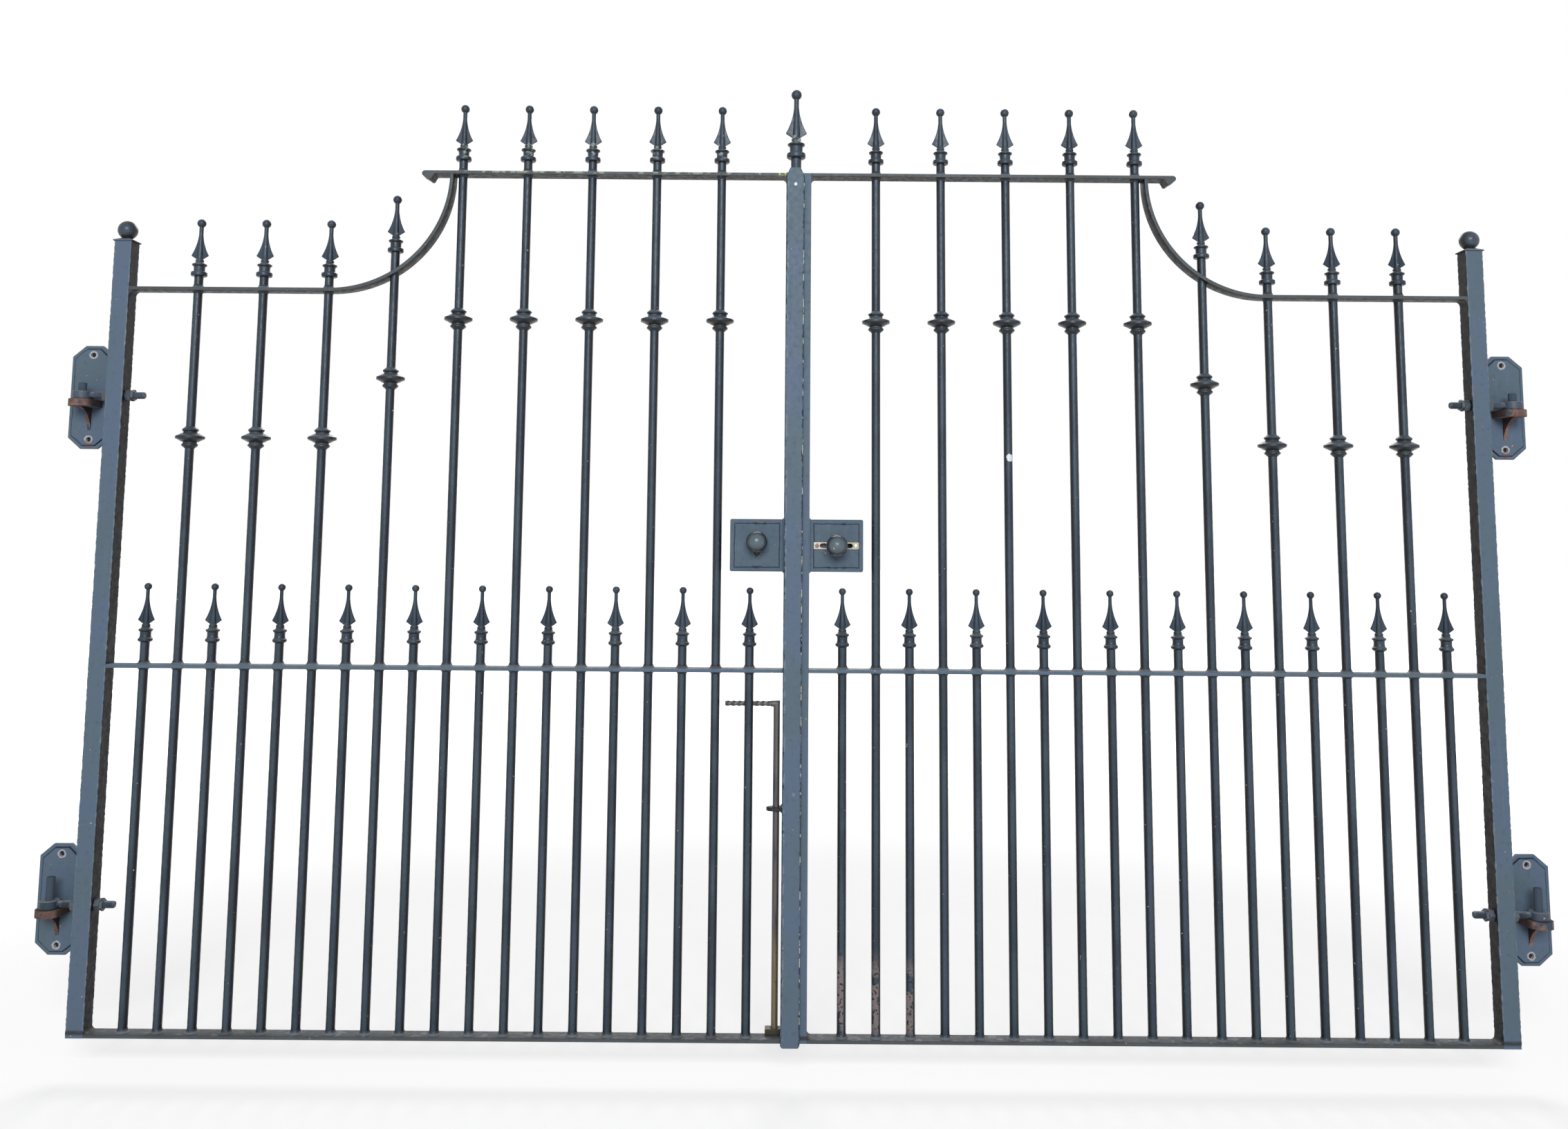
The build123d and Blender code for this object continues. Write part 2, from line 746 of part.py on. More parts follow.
# Drop bolt
def drop_bolt():
    """Round rod with a handle bent to the hinge side, behind the bars."""
    handle_level = level(drop_rod_top_height)
    with BuildPart() as bolt:
        with BuildSketch(Plane.XY.offset(level(0))):
            with Locations((drop_rod_x, drop_rod_y)):
                Circle(drop_rod_diameter / 2)
        extrude(amount=drop_rod_top_height)
        foot_rim = bolt.edges().filter_by(GeomType.CIRCLE).sort_by(Axis.Z)[0]
        chamfer(foot_rim, drop_rod_chamfer)
        with Locations((drop_rod_x, drop_rod_y, handle_level)):
            Sphere(drop_rod_diameter / 2)
        with BuildSketch(Plane.YZ.offset(drop_rod_x)):
            with Locations((drop_rod_y, handle_level)):
                Circle(drop_handle_diameter / 2)
        extrude(amount=-drop_handle_reach)
    write(bolt.part, "drop_bolt")


def drop_bolt_guides():
    """Lug on the meeting stile and block on the bottom rail, both bored for the rod."""
    with BuildPart() as guides:
        with BuildSketch(Plane.XY.offset(level(drop_lug_height))):
            with Locations((drop_rod_x, drop_rod_y)):
                Circle(drop_guide_radius)
            with Locations(((drop_rod_x + meeting_face) / 2, drop_rod_y)):
                Rectangle(drop_guide_radius, 2 * drop_guide_radius)
            with Locations((drop_rod_x, drop_rod_y)):
                Circle(drop_hole_radius, mode=Mode.SUBTRACT)
        extrude(amount=drop_lug_thickness)
        with BuildSketch(Plane.XY.offset(level(rail_thickness))):
            with Locations((drop_rod_x, drop_rod_y)):
                Rectangle(2 * drop_guide_radius, 2 * drop_guide_radius)
                Circle(drop_hole_radius, mode=Mode.SUBTRACT)
        extrude(amount=drop_block_thickness)
    write(guides.part, "drop_bolt_guides")


# Hinge eyes and nuts
def hinge_eyes(leaf):
    """Flat eyes on threaded bolts that pass through the hanging stile."""
    bolt_length = stile_face + nut_thickness + eye_bolt_past_nut
    with BuildPart() as eyes:
        for height in (lower_hinge_height, upper_hinge_height):
            with BuildSketch(Plane.YZ.offset(leaf.pin_x)):
                with Locations((leaf_y, level(height))):
                    Circle(eye_bolt_diameter / 2)
            extrude(amount=leaf.hand * bolt_length)
            with BuildSketch(Plane.XY.offset(level(height) - eye_thickness / 2)):
                with Locations((leaf.pin_x, leaf_y)):
                    Circle(eye_diameter / 2)
            extrude(amount=eye_thickness)
            with Locations((leaf.pin_x, leaf_y, level(height))):
                Cylinder(pin_diameter / 2 + pin_clearance, 2 * eye_bolt_diameter, mode=Mode.SUBTRACT)
    write(eyes.part, f"{leaf.name}_hinge_eyes")


def hinge_nuts(leaf):
    """Two nuts on each eye bolt, one on either side of the hanging stile."""
    corner_radius = nut_across_flats / sqrt(3)
    with BuildPart() as nuts:
        for start in (pin_to_stile - nut_thickness, stile_face):
            with BuildSketch(Plane.YZ.offset(across(leaf, start))):
                with Locations((leaf_y, level(lower_hinge_height)), (leaf_y, level(upper_hinge_height))):
                    RegularPolygon(corner_radius, 6)
                    Circle(eye_bolt_diameter / 2, mode=Mode.SUBTRACT)
            extrude(amount=leaf.hand * nut_thickness)
    write(nuts.part, f"{leaf.name}_hinge_nuts")


for leaf in (left, right):
    hinge_plate(leaf, "lower", lower_hinge_height)
    hinge_plate(leaf, "upper", upper_hinge_height)
    hinge_bracket(leaf, "lower", lower_hinge_height, lower_pin_above_eye)
    hinge_bracket(leaf, "upper", upper_hinge_height, upper_pin_above_eye)
    hanging_stile(leaf)
    stile_cap(leaf)
    bottom_rail(leaf)
    middle_rail(leaf)
    swept_rail(leaf)
    high_rail(leaf)
    meeting_stile(leaf)
    round_bars(leaf, tall_bar_numbers(), tall_bar_top, "tall_bars")
    round_bars(leaf, dog_bar_numbers(), lambda number: dog_bar_top, "dog_bars")
    knops(leaf)
    finials(leaf, tall_head, tall_bar_numbers(), tall_bar_top, "tall_finials")
    finials(leaf, dog_head, dog_bar_numbers(), lambda number: dog_bar_top, "dog_finials")
    lock_box(leaf)
    hinge_eyes(leaf)
    hinge_nuts(leaf)

cover_strip()
centre_finial()
left_knob()
latch_bar()
latch_knob()
latch_guide_strip()
latch_screws()
drop_bolt()
drop_bolt_guides()
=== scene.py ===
# %% [markdown]
# A two-leaf driveway gate in painted steel.
# The gate hangs on four wall plates. Each leaf has a square hanging stile, flat rails and two
# rows of round bars with cast spear heads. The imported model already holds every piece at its
# real size, so this lesson only dresses it: it gives the steel its worn paint, its rust and
# lichen, and it rebuilds the pieces whose edges, dents, threads and welds are too plain.

# %% Load the frame
import math

import bmesh
import bpy
from mathutils import Matrix, Vector


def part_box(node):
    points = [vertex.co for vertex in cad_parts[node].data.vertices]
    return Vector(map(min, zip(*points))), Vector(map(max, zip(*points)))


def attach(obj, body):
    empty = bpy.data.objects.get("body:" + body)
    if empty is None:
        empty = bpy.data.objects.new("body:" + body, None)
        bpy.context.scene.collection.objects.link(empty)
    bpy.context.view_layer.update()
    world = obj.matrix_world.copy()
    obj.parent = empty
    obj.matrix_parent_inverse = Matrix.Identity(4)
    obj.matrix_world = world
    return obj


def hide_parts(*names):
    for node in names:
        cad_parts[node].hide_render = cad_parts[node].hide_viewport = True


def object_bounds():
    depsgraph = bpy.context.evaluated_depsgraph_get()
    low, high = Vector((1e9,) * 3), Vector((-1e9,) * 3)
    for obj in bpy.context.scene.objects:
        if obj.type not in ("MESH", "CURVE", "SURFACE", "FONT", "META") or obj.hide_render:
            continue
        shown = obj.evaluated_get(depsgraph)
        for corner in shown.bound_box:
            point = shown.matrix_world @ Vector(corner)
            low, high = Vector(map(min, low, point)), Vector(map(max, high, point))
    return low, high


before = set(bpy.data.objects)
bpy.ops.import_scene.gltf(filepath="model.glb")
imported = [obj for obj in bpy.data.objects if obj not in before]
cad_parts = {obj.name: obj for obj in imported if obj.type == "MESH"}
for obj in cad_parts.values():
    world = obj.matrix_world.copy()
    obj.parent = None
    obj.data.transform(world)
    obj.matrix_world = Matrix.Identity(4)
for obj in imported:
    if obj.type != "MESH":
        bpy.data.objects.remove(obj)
cad_low, cad_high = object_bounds()
scene = bpy.context.scene
leaves = ("left", "right")
# Which way a leaf runs from its pins: 1 along X, -1 against it.
runs = {"left": 1, "right": -1}
print("nodes", len(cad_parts), "box", [round(value, 3) for value in (*cad_low, *cad_high)])

# %% [markdown]
# The camera comes first, because its picture decides how much detail each piece needs. It could
# be placed by eye, but its place, tilt and lens were fitted to the straight bars and rails of the
# real gate. It stands level with the knobs and looks slightly up, and its lens axis meets the
# picture above the middle, which the vertical shift repeats.

# %% Camera
photo_width = 2268
photo_height = 1633
focal_pixels = 1922.0
axis_pixel_y = 580.0
camera_place = Vector((1.617, -3.094, 0.803))
camera_pitch = 0.1076
camera_roll = 0.0076
sensor_width = 36.0

camera_data = bpy.data.cameras.new("camera")
camera = bpy.data.objects.new("camera", camera_data)
scene.collection.objects.link(camera)
scene.camera = camera
camera_data.sensor_width = sensor_width
camera_data.lens = focal_pixels / photo_width * sensor_width
camera_data.shift_y = (axis_pixel_y - photo_height / 2) / photo_width
tilt = Matrix.Rotation(math.pi / 2 + camera_pitch, 4, "X") @ Matrix.Rotation(camera_roll, 4, "Z")
camera.matrix_world = Matrix.Translation(camera_place) @ tilt
print("lens", round(camera_data.lens, 1), "mm")


def photo_point(pixel_x, pixel_y, depth):
    """Where the line of sight through a pixel of the photograph meets the plane Y = depth."""
    across = (pixel_x - photo_width / 2) / focal_pixels
    down = (pixel_y - axis_pixel_y) / focal_pixels
    sight = tilt.to_3x3() @ Vector((across, -down, -1))
    return camera_place + sight * ((depth - camera_place.y) / sight.y)


# %% [markdown]
# Node trees make both the finishes and the repeated shapes, so a few small helpers come first.
# They add a node, feed its sockets and do sums on numbers and vectors. A tree could be drawn by
# hand in the editor, but a script can be read and run again. A socket takes either another
# socket or a plain number, which keeps each tree readable as a list of steps.

# %% Helpers for node trees
def feed(tree, socket, value):
    if isinstance(value, bpy.types.NodeSocket):
        tree.links.new(value, socket)
    else:
        socket.default_value = value


def add_node(tree, kind, inputs=(), **settings):
    """Adds a node, sets its options, then feeds its sockets, given as (socket, value) pairs."""
    node = tree.nodes.new(kind)
    for option, value in settings.items():
        setattr(node, option, value)
    for key, value in inputs:
        feed(tree, node.inputs[key], value)
    return node


def sums(tree, operation, *values):
    node = add_node(tree, "ShaderNodeMath", enumerate(values), operation=operation)
    return node.outputs[0]


def arrows(tree, operation, *values):
    """A sum on vectors, given as (socket, value) pairs. A distance comes out as a number."""
    node = add_node(tree, "ShaderNodeVectorMath", values, operation=operation)
    return node.outputs["Value"] if operation == "DISTANCE" else node.outputs[0]


def split_axes(tree, vector):
    return add_node(tree, "ShaderNodeSeparateXYZ", ((0, vector),)).outputs


# %% [markdown]
# Every finish here is a mix of a few simple ingredients: soft clouds, fine grain, speckles, and
# masks that switch on in one place. The helpers below name those ingredients once.

# %% Helpers for finishes
MIX_FACTOR, MIX_FIRST, MIX_SECOND, MIX_RESULT = 0, 6, 7, 2


def noise(tree, place, scale, detail=3.0):
    inputs = (("Vector", place), ("Scale", scale), ("Detail", detail))
    return add_node(tree, "ShaderNodeTexNoise", inputs).outputs["Fac"]


def stretch(tree, place, scale):
    """The same place, stretched, so that a pattern drawn on it runs in streaks."""
    return add_node(tree, "ShaderNodeMapping", (("Vector", place), ("Scale", scale))).outputs[0]


def mask(tree, value, start, end, least=0.0, most=1.0):
    """Rises smoothly from least to most while value goes from start to end."""
    inputs = ((0, value), (1, start), (2, end), (3, least), (4, most))
    return add_node(tree, "ShaderNodeMapRange", inputs, interpolation_type="SMOOTHSTEP").outputs[0]


def window(tree, value, low, high, soft):
    """One between low and high, and nothing outside them."""
    rise = mask(tree, value, low - soft, low + soft)
    fall = mask(tree, value, high - soft, high + soft, 1.0, 0.0)
    return sums(tree, "MULTIPLY", rise, fall)


def tint(tree, factor, first, second):
    first = (*first, 1.0) if isinstance(first, tuple) else first
    second = (*second, 1.0) if isinstance(second, tuple) else second
    inputs = ((MIX_FACTOR, factor), (MIX_FIRST, first), (MIX_SECOND, second))
    node = add_node(tree, "ShaderNodeMix", inputs, data_type="RGBA")
    return node.outputs[MIX_RESULT]


def speckles(tree, place, scale, size, share):
    """Small round spots, one in each cell of a random grid, and only in a share of the cells."""
    cells = add_node(tree, "ShaderNodeTexVoronoi", (("Vector", place), ("Scale", scale)))
    spot = mask(tree, cells.outputs["Distance"], size * 0.7, size, 1.0, 0.0)
    chance = add_node(tree, "ShaderNodeSeparateColor", ((0, cells.outputs["Color"]),)).outputs[0]
    return sums(tree, "MULTIPLY", spot, sums(tree, "LESS_THAN", chance, share))


def start_finish(name, roughness, gloss, metallic=0.0):
    """A new material, with its tree, its shader, and the place and facing of each point."""
    material = bpy.data.materials.new(name)
    material.use_nodes = True
    tree = material.node_tree
    tree.nodes.clear()
    shader = tree.nodes.new("ShaderNodeBsdfPrincipled")
    output = tree.nodes.new("ShaderNodeOutputMaterial")
    tree.links.new(shader.outputs[0], output.inputs["Surface"])
    shader.inputs["Roughness"].default_value = roughness
    shader.inputs["Specular IOR Level"].default_value = gloss
    shader.inputs["Metallic"].default_value = metallic
    coordinates = tree.nodes.new("ShaderNodeTexCoord").outputs
    return material, tree, shader, coordinates["Object"], coordinates["Normal"]


def bumps(tree, shader, height, depth):
    """Makes the surface look raised where height is large. Depth is in metres."""
    inputs = (("Height", height), ("Distance", depth), ("Strength", 1.0))
    node = add_node(tree, "ShaderNodeBump", inputs)
    tree.links.new(node.outputs[0], shader.inputs["Normal"])


# %% [markdown]
# Marks have a place. A growth fills an area with ragged patches, a spot is one ragged blot, a
# ring goes round a hole, and an outline follows the edge of a raised panel, where dirt and painted
# shade darken the crease. They could be painted on an image, but sums on the place of each
# point stay sharp at any distance. Each gives a mask, and the paint lays a colour through it.

# %% Masks for marks
side_fade = 0.0015


def growth_mask(tree, place, across, upward, share, grain, fade):
    """Ragged patches over a share of an area seen from the front, fading at its top and foot."""
    axes = split_axes(tree, place)
    inside = window(tree, axes[0], *across, side_fade)
    inside = sums(tree, "MULTIPLY", inside, window(tree, axes[2], *upward, fade))
    patches = mask(tree, noise(tree, place, grain, 5.0), 0.66 - share * 0.3, 0.70 - share * 0.3)
    return sums(tree, "MULTIPLY", inside, patches)


def growth(across, upward, share, grain, colour, strength, fade=0.003):
    """The mark that such patches make: kind of mask, the mask's values, colour and strength."""
    return growth_mask, (across, upward, share, grain, fade), colour, strength


def ragged_distance(tree, place, centre, raggedness, grain=160.0):
    """Distance from a point, on a place that noise has shaken."""
    shake = add_node(tree, "ShaderNodeTexNoise", (("Vector", place), ("Scale", grain))).outputs["Color"]
    half = raggedness / 2
    moved = arrows(tree, "MULTIPLY", (0, shake), (1, (raggedness, raggedness, raggedness)))
    there = arrows(tree, "ADD", (0, place), (1, moved))
    middle = (centre[0] + half, centre[1] + half, centre[2] + half)
    return arrows(tree, "DISTANCE", (0, there), (1, middle))


def spot_mask(tree, place, centre, radius):
    return mask(tree, ragged_distance(tree, place, centre, radius), radius * 0.75, radius, 1.0, 0.0)


def ring_mask(tree, place, centre, radius, width):
    distance = ragged_distance(tree, place, centre, width * 1.6, 260.0)
    return window(tree, distance, radius - width / 2, radius + width / 2, width / 3)


def outline_mask(tree, place, centre, half_x, half_z, cut_x, cut_z, width):
    """A wavering line round a panel whose corners are cut by cut_x and cut_z."""
    axes = split_axes(tree, place)
    from_x = sums(tree, "ABSOLUTE", sums(tree, "SUBTRACT", axes[0], centre[0]))
    from_z = sums(tree, "ABSOLUTE", sums(tree, "SUBTRACT", axes[2], centre[2]))
    past_x = sums(tree, "SUBTRACT", from_x, half_x)
    past_z = sums(tree, "SUBTRACT", from_z, half_z)
    beyond = sums(tree, "MAXIMUM", past_x, past_z)
    if cut_x:
        corner = sums(tree, "ADD", sums(tree, "DIVIDE", from_x, cut_x), sums(tree, "DIVIDE", from_z, cut_z))
        reach_out = sums(tree, "SUBTRACT", corner, half_x / cut_x + half_z / cut_z - 1.0)
        slope = cut_x * cut_z / math.hypot(cut_x, cut_z)
        beyond = sums(tree, "MAXIMUM", beyond, sums(tree, "MULTIPLY", reach_out, slope))
    waver = sums(tree, "MULTIPLY", sums(tree, "SUBTRACT", noise(tree, place, 40.0), 0.5), width * 1.5)
    return window(tree, sums(tree, "ADD", beyond, waver), -width / 2, width / 2, width / 3)


# %% [markdown]
# The paint is the main finish. On the real gate it is a slate blue, brushed over an older dark coat.
# Faces that slant away from the front are darkened towards that coat's black as painted shade, faces
# that look up are greyed towards dust, and faces that look down turn dark brown, painted shade with
# some dirt. Facing decides those three, soft noise makes the cloudy patches, and an attribute named
# wear marks the hammered edges, where a rim colour shows worn paint and, where it is pale, a painted
# highlight.

# %% Paint
slate = (0.104, 0.148, 0.215)
slate_green = (0.100, 0.146, 0.184)
slate_dark = (0.056, 0.078, 0.110)
navy = (0.020, 0.035, 0.056)
navy_dark = (0.009, 0.015, 0.025)
navy_light = (0.038, 0.060, 0.087)
block_olive = (0.052, 0.043, 0.028)
knob_blue = (0.085, 0.122, 0.150)
old_coat_and_shade = (0.009, 0.009, 0.011)
dust_and_glint = (0.235, 0.262, 0.290)
dirt_and_shade = (0.036, 0.032, 0.030)
rail_grey = (0.076, 0.088, 0.094)
rail_slate = (0.090, 0.108, 0.122)
rail_brown = (0.052, 0.048, 0.045)
bar_slate = (0.046, 0.072, 0.100)
bar_dark = (0.028, 0.046, 0.068)
cream = (0.560, 0.520, 0.440)
rust_stain = (0.150, 0.068, 0.040)
primer = (0.222, 0.178, 0.178)
lichen_pale = (0.330, 0.390, 0.330)
pale_rim = (0.480, 0.480, 0.500)
moss = (0.420, 0.560, 0.130)
chalk = (0.720, 0.780, 0.800)
cloud_scale = 7.0
grain_scale = 85.0
brush_stretch = (120.0, 120.0, 7.0)
patch_scale = 60.0
chip_scale = 150.0
paint_relief = 0.00012


def painted_steel(name, fresh, clouded, shaded, gloss, side_shade=(0.80, 0.98, 0.0), roughness=0.45,
                  fleck=0.66, rim=(dust_and_glint, 0.65), top_paleness=0.8, marks=()):
    """Brushed gate paint. A mark is (kind of mask, the mask's own values, colour, strength).

    Its side shade says from which to which slant away from the front the old coat's black is painted
    on as shade, and how much. Rust and cream show where the chipping noise passes fleck, rim is the
    colour of the hammered edges and its share (worn paint, and where it is pale a painted highlight),
    and the top paleness is the most that faces looking up are greyed towards dust.
    """
    material, tree, shader, place, facing = start_finish(name, roughness, gloss)
    cloud = noise(tree, place, cloud_scale)
    grain = noise(tree, place, grain_scale, 4.0)
    streak = noise(tree, stretch(tree, place, brush_stretch), 1.0, 2.0)
    colour = tint(tree, mask(tree, cloud, 0.40, 0.64), fresh, clouded)
    colour = tint(tree, mask(tree, grain, 0.52, 0.78, 0.0, 0.35), colour, shaded)
    colour = tint(tree, mask(tree, streak, 0.60, 0.85, 0.0, 0.14), colour, dust_and_glint)

    sides = split_axes(tree, facing)
    # Painted shade: faces that slant away from the front are darkened towards the old coat's black.
    sideways = sums(tree, "SUBTRACT", 1.0, sums(tree, "POWER", sides[1], 2.0))
    sideways = sums(tree, "SQRT", sums(tree, "MAXIMUM", sideways, 0.0))
    shade_start, shade_end, shade_share = side_shade
    colour = tint(tree, mask(tree, sideways, shade_start, shade_end, 0.0, shade_share), colour, old_coat_and_shade)
    # Faces that look up are greyed towards dust.
    topside = mask(tree, sides[2], 0.3, 0.9)
    paler_tops = sums(tree, "MULTIPLY", topside, mask(tree, cloud, 0.3, 0.6, top_paleness / 2, top_paleness))
    colour = tint(tree, paler_tops, colour, dust_and_glint)
    # Painted shade, with some dirt: faces that look down are darkened to a dark brown.
    colour = tint(tree, mask(tree, sides[2], -0.9, -0.3, 0.8, 0.0), colour, dirt_and_shade)

    wear = add_node(tree, "ShaderNodeAttribute", attribute_name="wear").outputs["Fac"]
    # Hammered edges get the rim colour in patches: worn paint, and where that colour is pale, a painted highlight
    # along the edge.
    patchy = mask(tree, noise(tree, place, patch_scale), 0.40, 0.70)
    patchy_rim = sums(tree, "MULTIPLY", mask(tree, wear, 0.5, 1.0), patchy)
    rim_colour, rim_share = rim
    colour = tint(tree, sums(tree, "MULTIPLY", patchy_rim, rim_share), colour, rim_colour)
    chipping = noise(tree, place, chip_scale, 4.0)
    colour = tint(tree, mask(tree, chipping, fleck + 0.03, fleck + 0.06), colour, rust_stain)
    colour = tint(tree, mask(tree, chipping, fleck + 0.07, fleck + 0.10), colour, cream)
    colour = tint(tree, speckles(tree, place, 42.0, 0.050, 0.16), colour, dust_and_glint)
    for kind, values, shade, strength in marks:
        colour = tint(tree, sums(tree, "MULTIPLY", kind(tree, place, *values), strength), colour, shade)

    tree.links.new(colour, shader.inputs["Base Color"])
    softness = mask(tree, grain, 0.3, 0.7, roughness - 0.07, roughness + 0.12)
    tree.links.new(softness, shader.inputs["Roughness"])
    height = sums(tree, "ADD", sums(tree, "MULTIPLY", grain, 0.6), sums(tree, "MULTIPLY", streak, 0.4))
    bumps(tree, shader, height, paint_relief)
    return material


# %% [markdown]
# The growths and marks that show plainly all have a known place. Pale lichen lives on top of the
# left high rail, on the collars above it and round the neck of the centre spear. Yellow moss
# sits where that rail meets the cover strip, a bird has left a splash on one bar, and the feet of
# the first three bars beside the strip have lost their paint down to a pinkish primer. A place
# that is known only from the picture is found by following its line of sight to the bars' front.

# %% Places of the marks
high_rail_low, high_rail_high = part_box("left_high_rail")
strip_low, strip_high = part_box("cover_strip")
leaf_middle = (high_rail_low.y + high_rail_high.y) / 2
bar_front = leaf_middle - 0.010
bar_gap = 0.03


def bars_of(node):
    """Axis, foot and top of each bar in a node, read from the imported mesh."""
    corners = sorted(tuple(vertex.co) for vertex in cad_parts[node].data.vertices)
    groups = [[corners[0]]]
    for corner in corners[1:]:
        if corner[0] - groups[-1][-1][0] > bar_gap:
            groups.append([])
        groups[-1].append(corner)
    found = []
    for group in groups:
        middle = (group[0][0] + group[-1][0]) / 2
        heights = [corner[2] for corner in group]
        found.append((middle, min(heights), max(heights)))
    return found


rail_top = high_rail_high.z
strip_side = high_rail_high.x
everywhere = (-1.0, 5.0)
lichen_on_rail = growth((high_rail_low.x + 0.10, strip_side - 0.06), (rail_top - 0.004, rail_top + 0.01),
                        0.45, 70.0, lichen_pale, 0.9)
moss_by_strip = growth((strip_side - 0.018, strip_side + 0.004), (rail_top - 0.006, rail_top + 0.01),
                       0.80, 90.0, moss, 1.0)
lichen_on_collars = growth((high_rail_low.x + 0.06, strip_side - 0.05), (rail_top + 0.034, rail_top + 0.072),
                           0.36, 95.0, lichen_pale, 0.65)
lichen_on_neck = growth((strip_side, strip_side + 0.05), (rail_top + 0.074, rail_top + 0.090),
                        0.75, 90.0, lichen_pale, 0.9)
rail_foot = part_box("left_bottom_rail")[0].z
bottom_dirt = growth(everywhere, (rail_foot + 0.0072, rail_foot + 0.016), 0.95, 30.0, dirt_and_shade, 0.85)
splash_pixel = (1461, 662)
spot_pixel = (1151, 266)
scratch_pixel = (1148, 1150)
splash = (spot_mask, (photo_point(*splash_pixel, bar_front), 0.010), chalk, 1.0)
strip_spot = (spot_mask, (photo_point(*spot_pixel, strip_low.y), 0.004), chalk, 1.0)
strip_scratch = (spot_mask, (photo_point(*scratch_pixel, strip_low.y), 0.005), dust_and_glint, 0.5)

# %% Stripped feet of three bars
stripped_feet = []
foot_fade = 0.035
foot_left = 0.009
# For each foot: its pixel across, the pixels of its top and bottom, and its reach to the right.
foot_pixels = ((1213, 1388, 1500, 0.004), (1270, 1394, 1500, 0.006), (1319, 1400, 1500, 0.005))
feet_across = [bar[0] for bar in bars_of("right_dog_bars") + bars_of("right_tall_bars")]
for pixel_x, top_pixel, foot_pixel, foot_right in foot_pixels:
    upper = photo_point(pixel_x, top_pixel, bar_front)
    lower = photo_point(pixel_x, foot_pixel, bar_front)
    axis = min(feet_across, key=lambda x: abs(x - upper.x))
    across = (axis - foot_left, axis + foot_right)
    upward = (lower.z, upper.z)
    stripped_feet.append(growth(across, upward, 0.80, 26.0, primer, 0.88, foot_fade))
    stripped_feet.append(growth(across, upward, 0.32, 170.0, old_coat_and_shade, 1.0, foot_fade))
    print("stripped foot at", round(axis, 3), "from", round(lower.z, 3), "to", round(upper.z, 3))

# %% [markdown]
# One paint covers the gate, but each kind of piece took it and wore it in its own way: broad
# faces are slate, rails grey brown, bars and castings nearly navy, knobs rubbed to a blue grey.
# So one recipe is called once for each kind, with its own colours, painted side shade and marks.
# The cover strip also has a cream line along its right edge, a painted highlight along its left
# bevel and painted shadow lines along both edges.

# %% Paint finishes of the gate
# Painted shade: from which slant away from the front the old coat's black is painted on, and how much. It darkens
# the flanks of stiles and rails and the rims of bars, castings and knobs.
stile_side_shade = (0.80, 0.98, 1.0)
bar_side_shade = (0.25, 0.85, 0.95)
cast_side_shade = (0.45, 0.96, 0.85)
gate_paint = painted_steel("gate_paint", slate, slate_green, slate_dark, 0.12, stile_side_shade,
                           marks=(bottom_dirt,))
rail_paint = painted_steel("rail_paint", rail_grey, rail_slate, rail_brown, 0.12, stile_side_shade,
                           marks=(bottom_dirt, lichen_on_rail, moss_by_strip))
# The dark of seams and creases: dirt, with painted shade.
seam_dirt_and_shade = (0.022, 0.034, 0.056)
strip_heights = (strip_low.z, strip_high.z)
right_rim = strip_high.x + 0.002
strip_edge_cream = growth((strip_high.x - 0.0016, right_rim), strip_heights, 0.40, 55.0, cream, 1.0)
# Painted highlight: a pale line along the strip's left bevel.
strip_bevel_highlight = growth((strip_low.x + 0.003, strip_low.x + 0.006), strip_heights, 0.50, 40.0, dust_and_glint, 0.6)
# Painted shadow: dark lines along both edges of the strip, where it stands proud of its neighbours.
strip_left_shadow = growth((strip_low.x - 0.002, strip_low.x + 0.0017), strip_heights, 0.72, 34.0, seam_dirt_and_shade, 0.9)
strip_right_shadow = growth((strip_high.x - 0.0018, right_rim), strip_heights, 0.72, 34.0, seam_dirt_and_shade, 0.9)
strip_paint = painted_steel("strip_paint", slate, slate_green, slate_dark, 0.12, stile_side_shade,
                            rim=(navy_dark, 1.0),
                            marks=(strip_bevel_highlight, strip_left_shadow, strip_right_shadow, strip_edge_cream,
                                   strip_spot, strip_scratch))
bar_paint = painted_steel("bar_paint", bar_slate, bar_dark, navy_dark, 0.24, bar_side_shade, 0.30,
                          marks=(*stripped_feet, splash))
head_paint = painted_steel("head_paint", navy, navy_light, navy_dark, 0.25, cast_side_shade, 0.32, top_paleness=0.4,
                           marks=(lichen_on_collars, lichen_on_neck))
# Painted shade: each knob darkens towards its rim, which leaves a pale middle.
knob_rim_shade = (0.55, 0.97, 0.85)
knob_paint = painted_steel("knob_paint", knob_blue, knob_blue, slate_dark, 0.4, knob_rim_shade, 0.22,
                           top_paleness=0.0)
ball_paint = painted_steel("ball_paint", navy_light, slate_dark, navy, 0.3, cast_side_shade, 0.26, top_paleness=0.0)
hinge_paint = painted_steel("hinge_paint", slate_dark, navy, navy_dark, 0.35)
weld_paint = painted_steel("weld_paint", navy_dark, navy, old_coat_and_shade, 0.3)
print("finishes so far:", ", ".join(material.name for material in bpy.data.materials))

# %% [markdown]
# The brackets lost their paint long ago. Rust is rough and never one colour, so two noises mix
# a bright orange brown, a deep brown and the black of old scale, and the bump is strong. Faces that
# turn sideways are darkened towards that black as painted shade.
# Bare steel on the drop rod is smoother: a tan film towards the foot, grey brown above. The
# brass of the latch guide and the screws are tarnished in patches, one end more than the other.

# %% Rust, worn steel, brass and screws
rust_bright = (0.260, 0.158, 0.135)
rust_deep = (0.135, 0.083, 0.072)
scale_black = (0.018, 0.015, 0.016)
steel_brown = (0.090, 0.084, 0.085)
steel_tan = (0.175, 0.145, 0.090)
brass_dull = (0.280, 0.270, 0.160)
brass_pale = (0.480, 0.440, 0.400)
zinc = (0.600, 0.590, 0.580)
pin_paint_gap = 0.0005


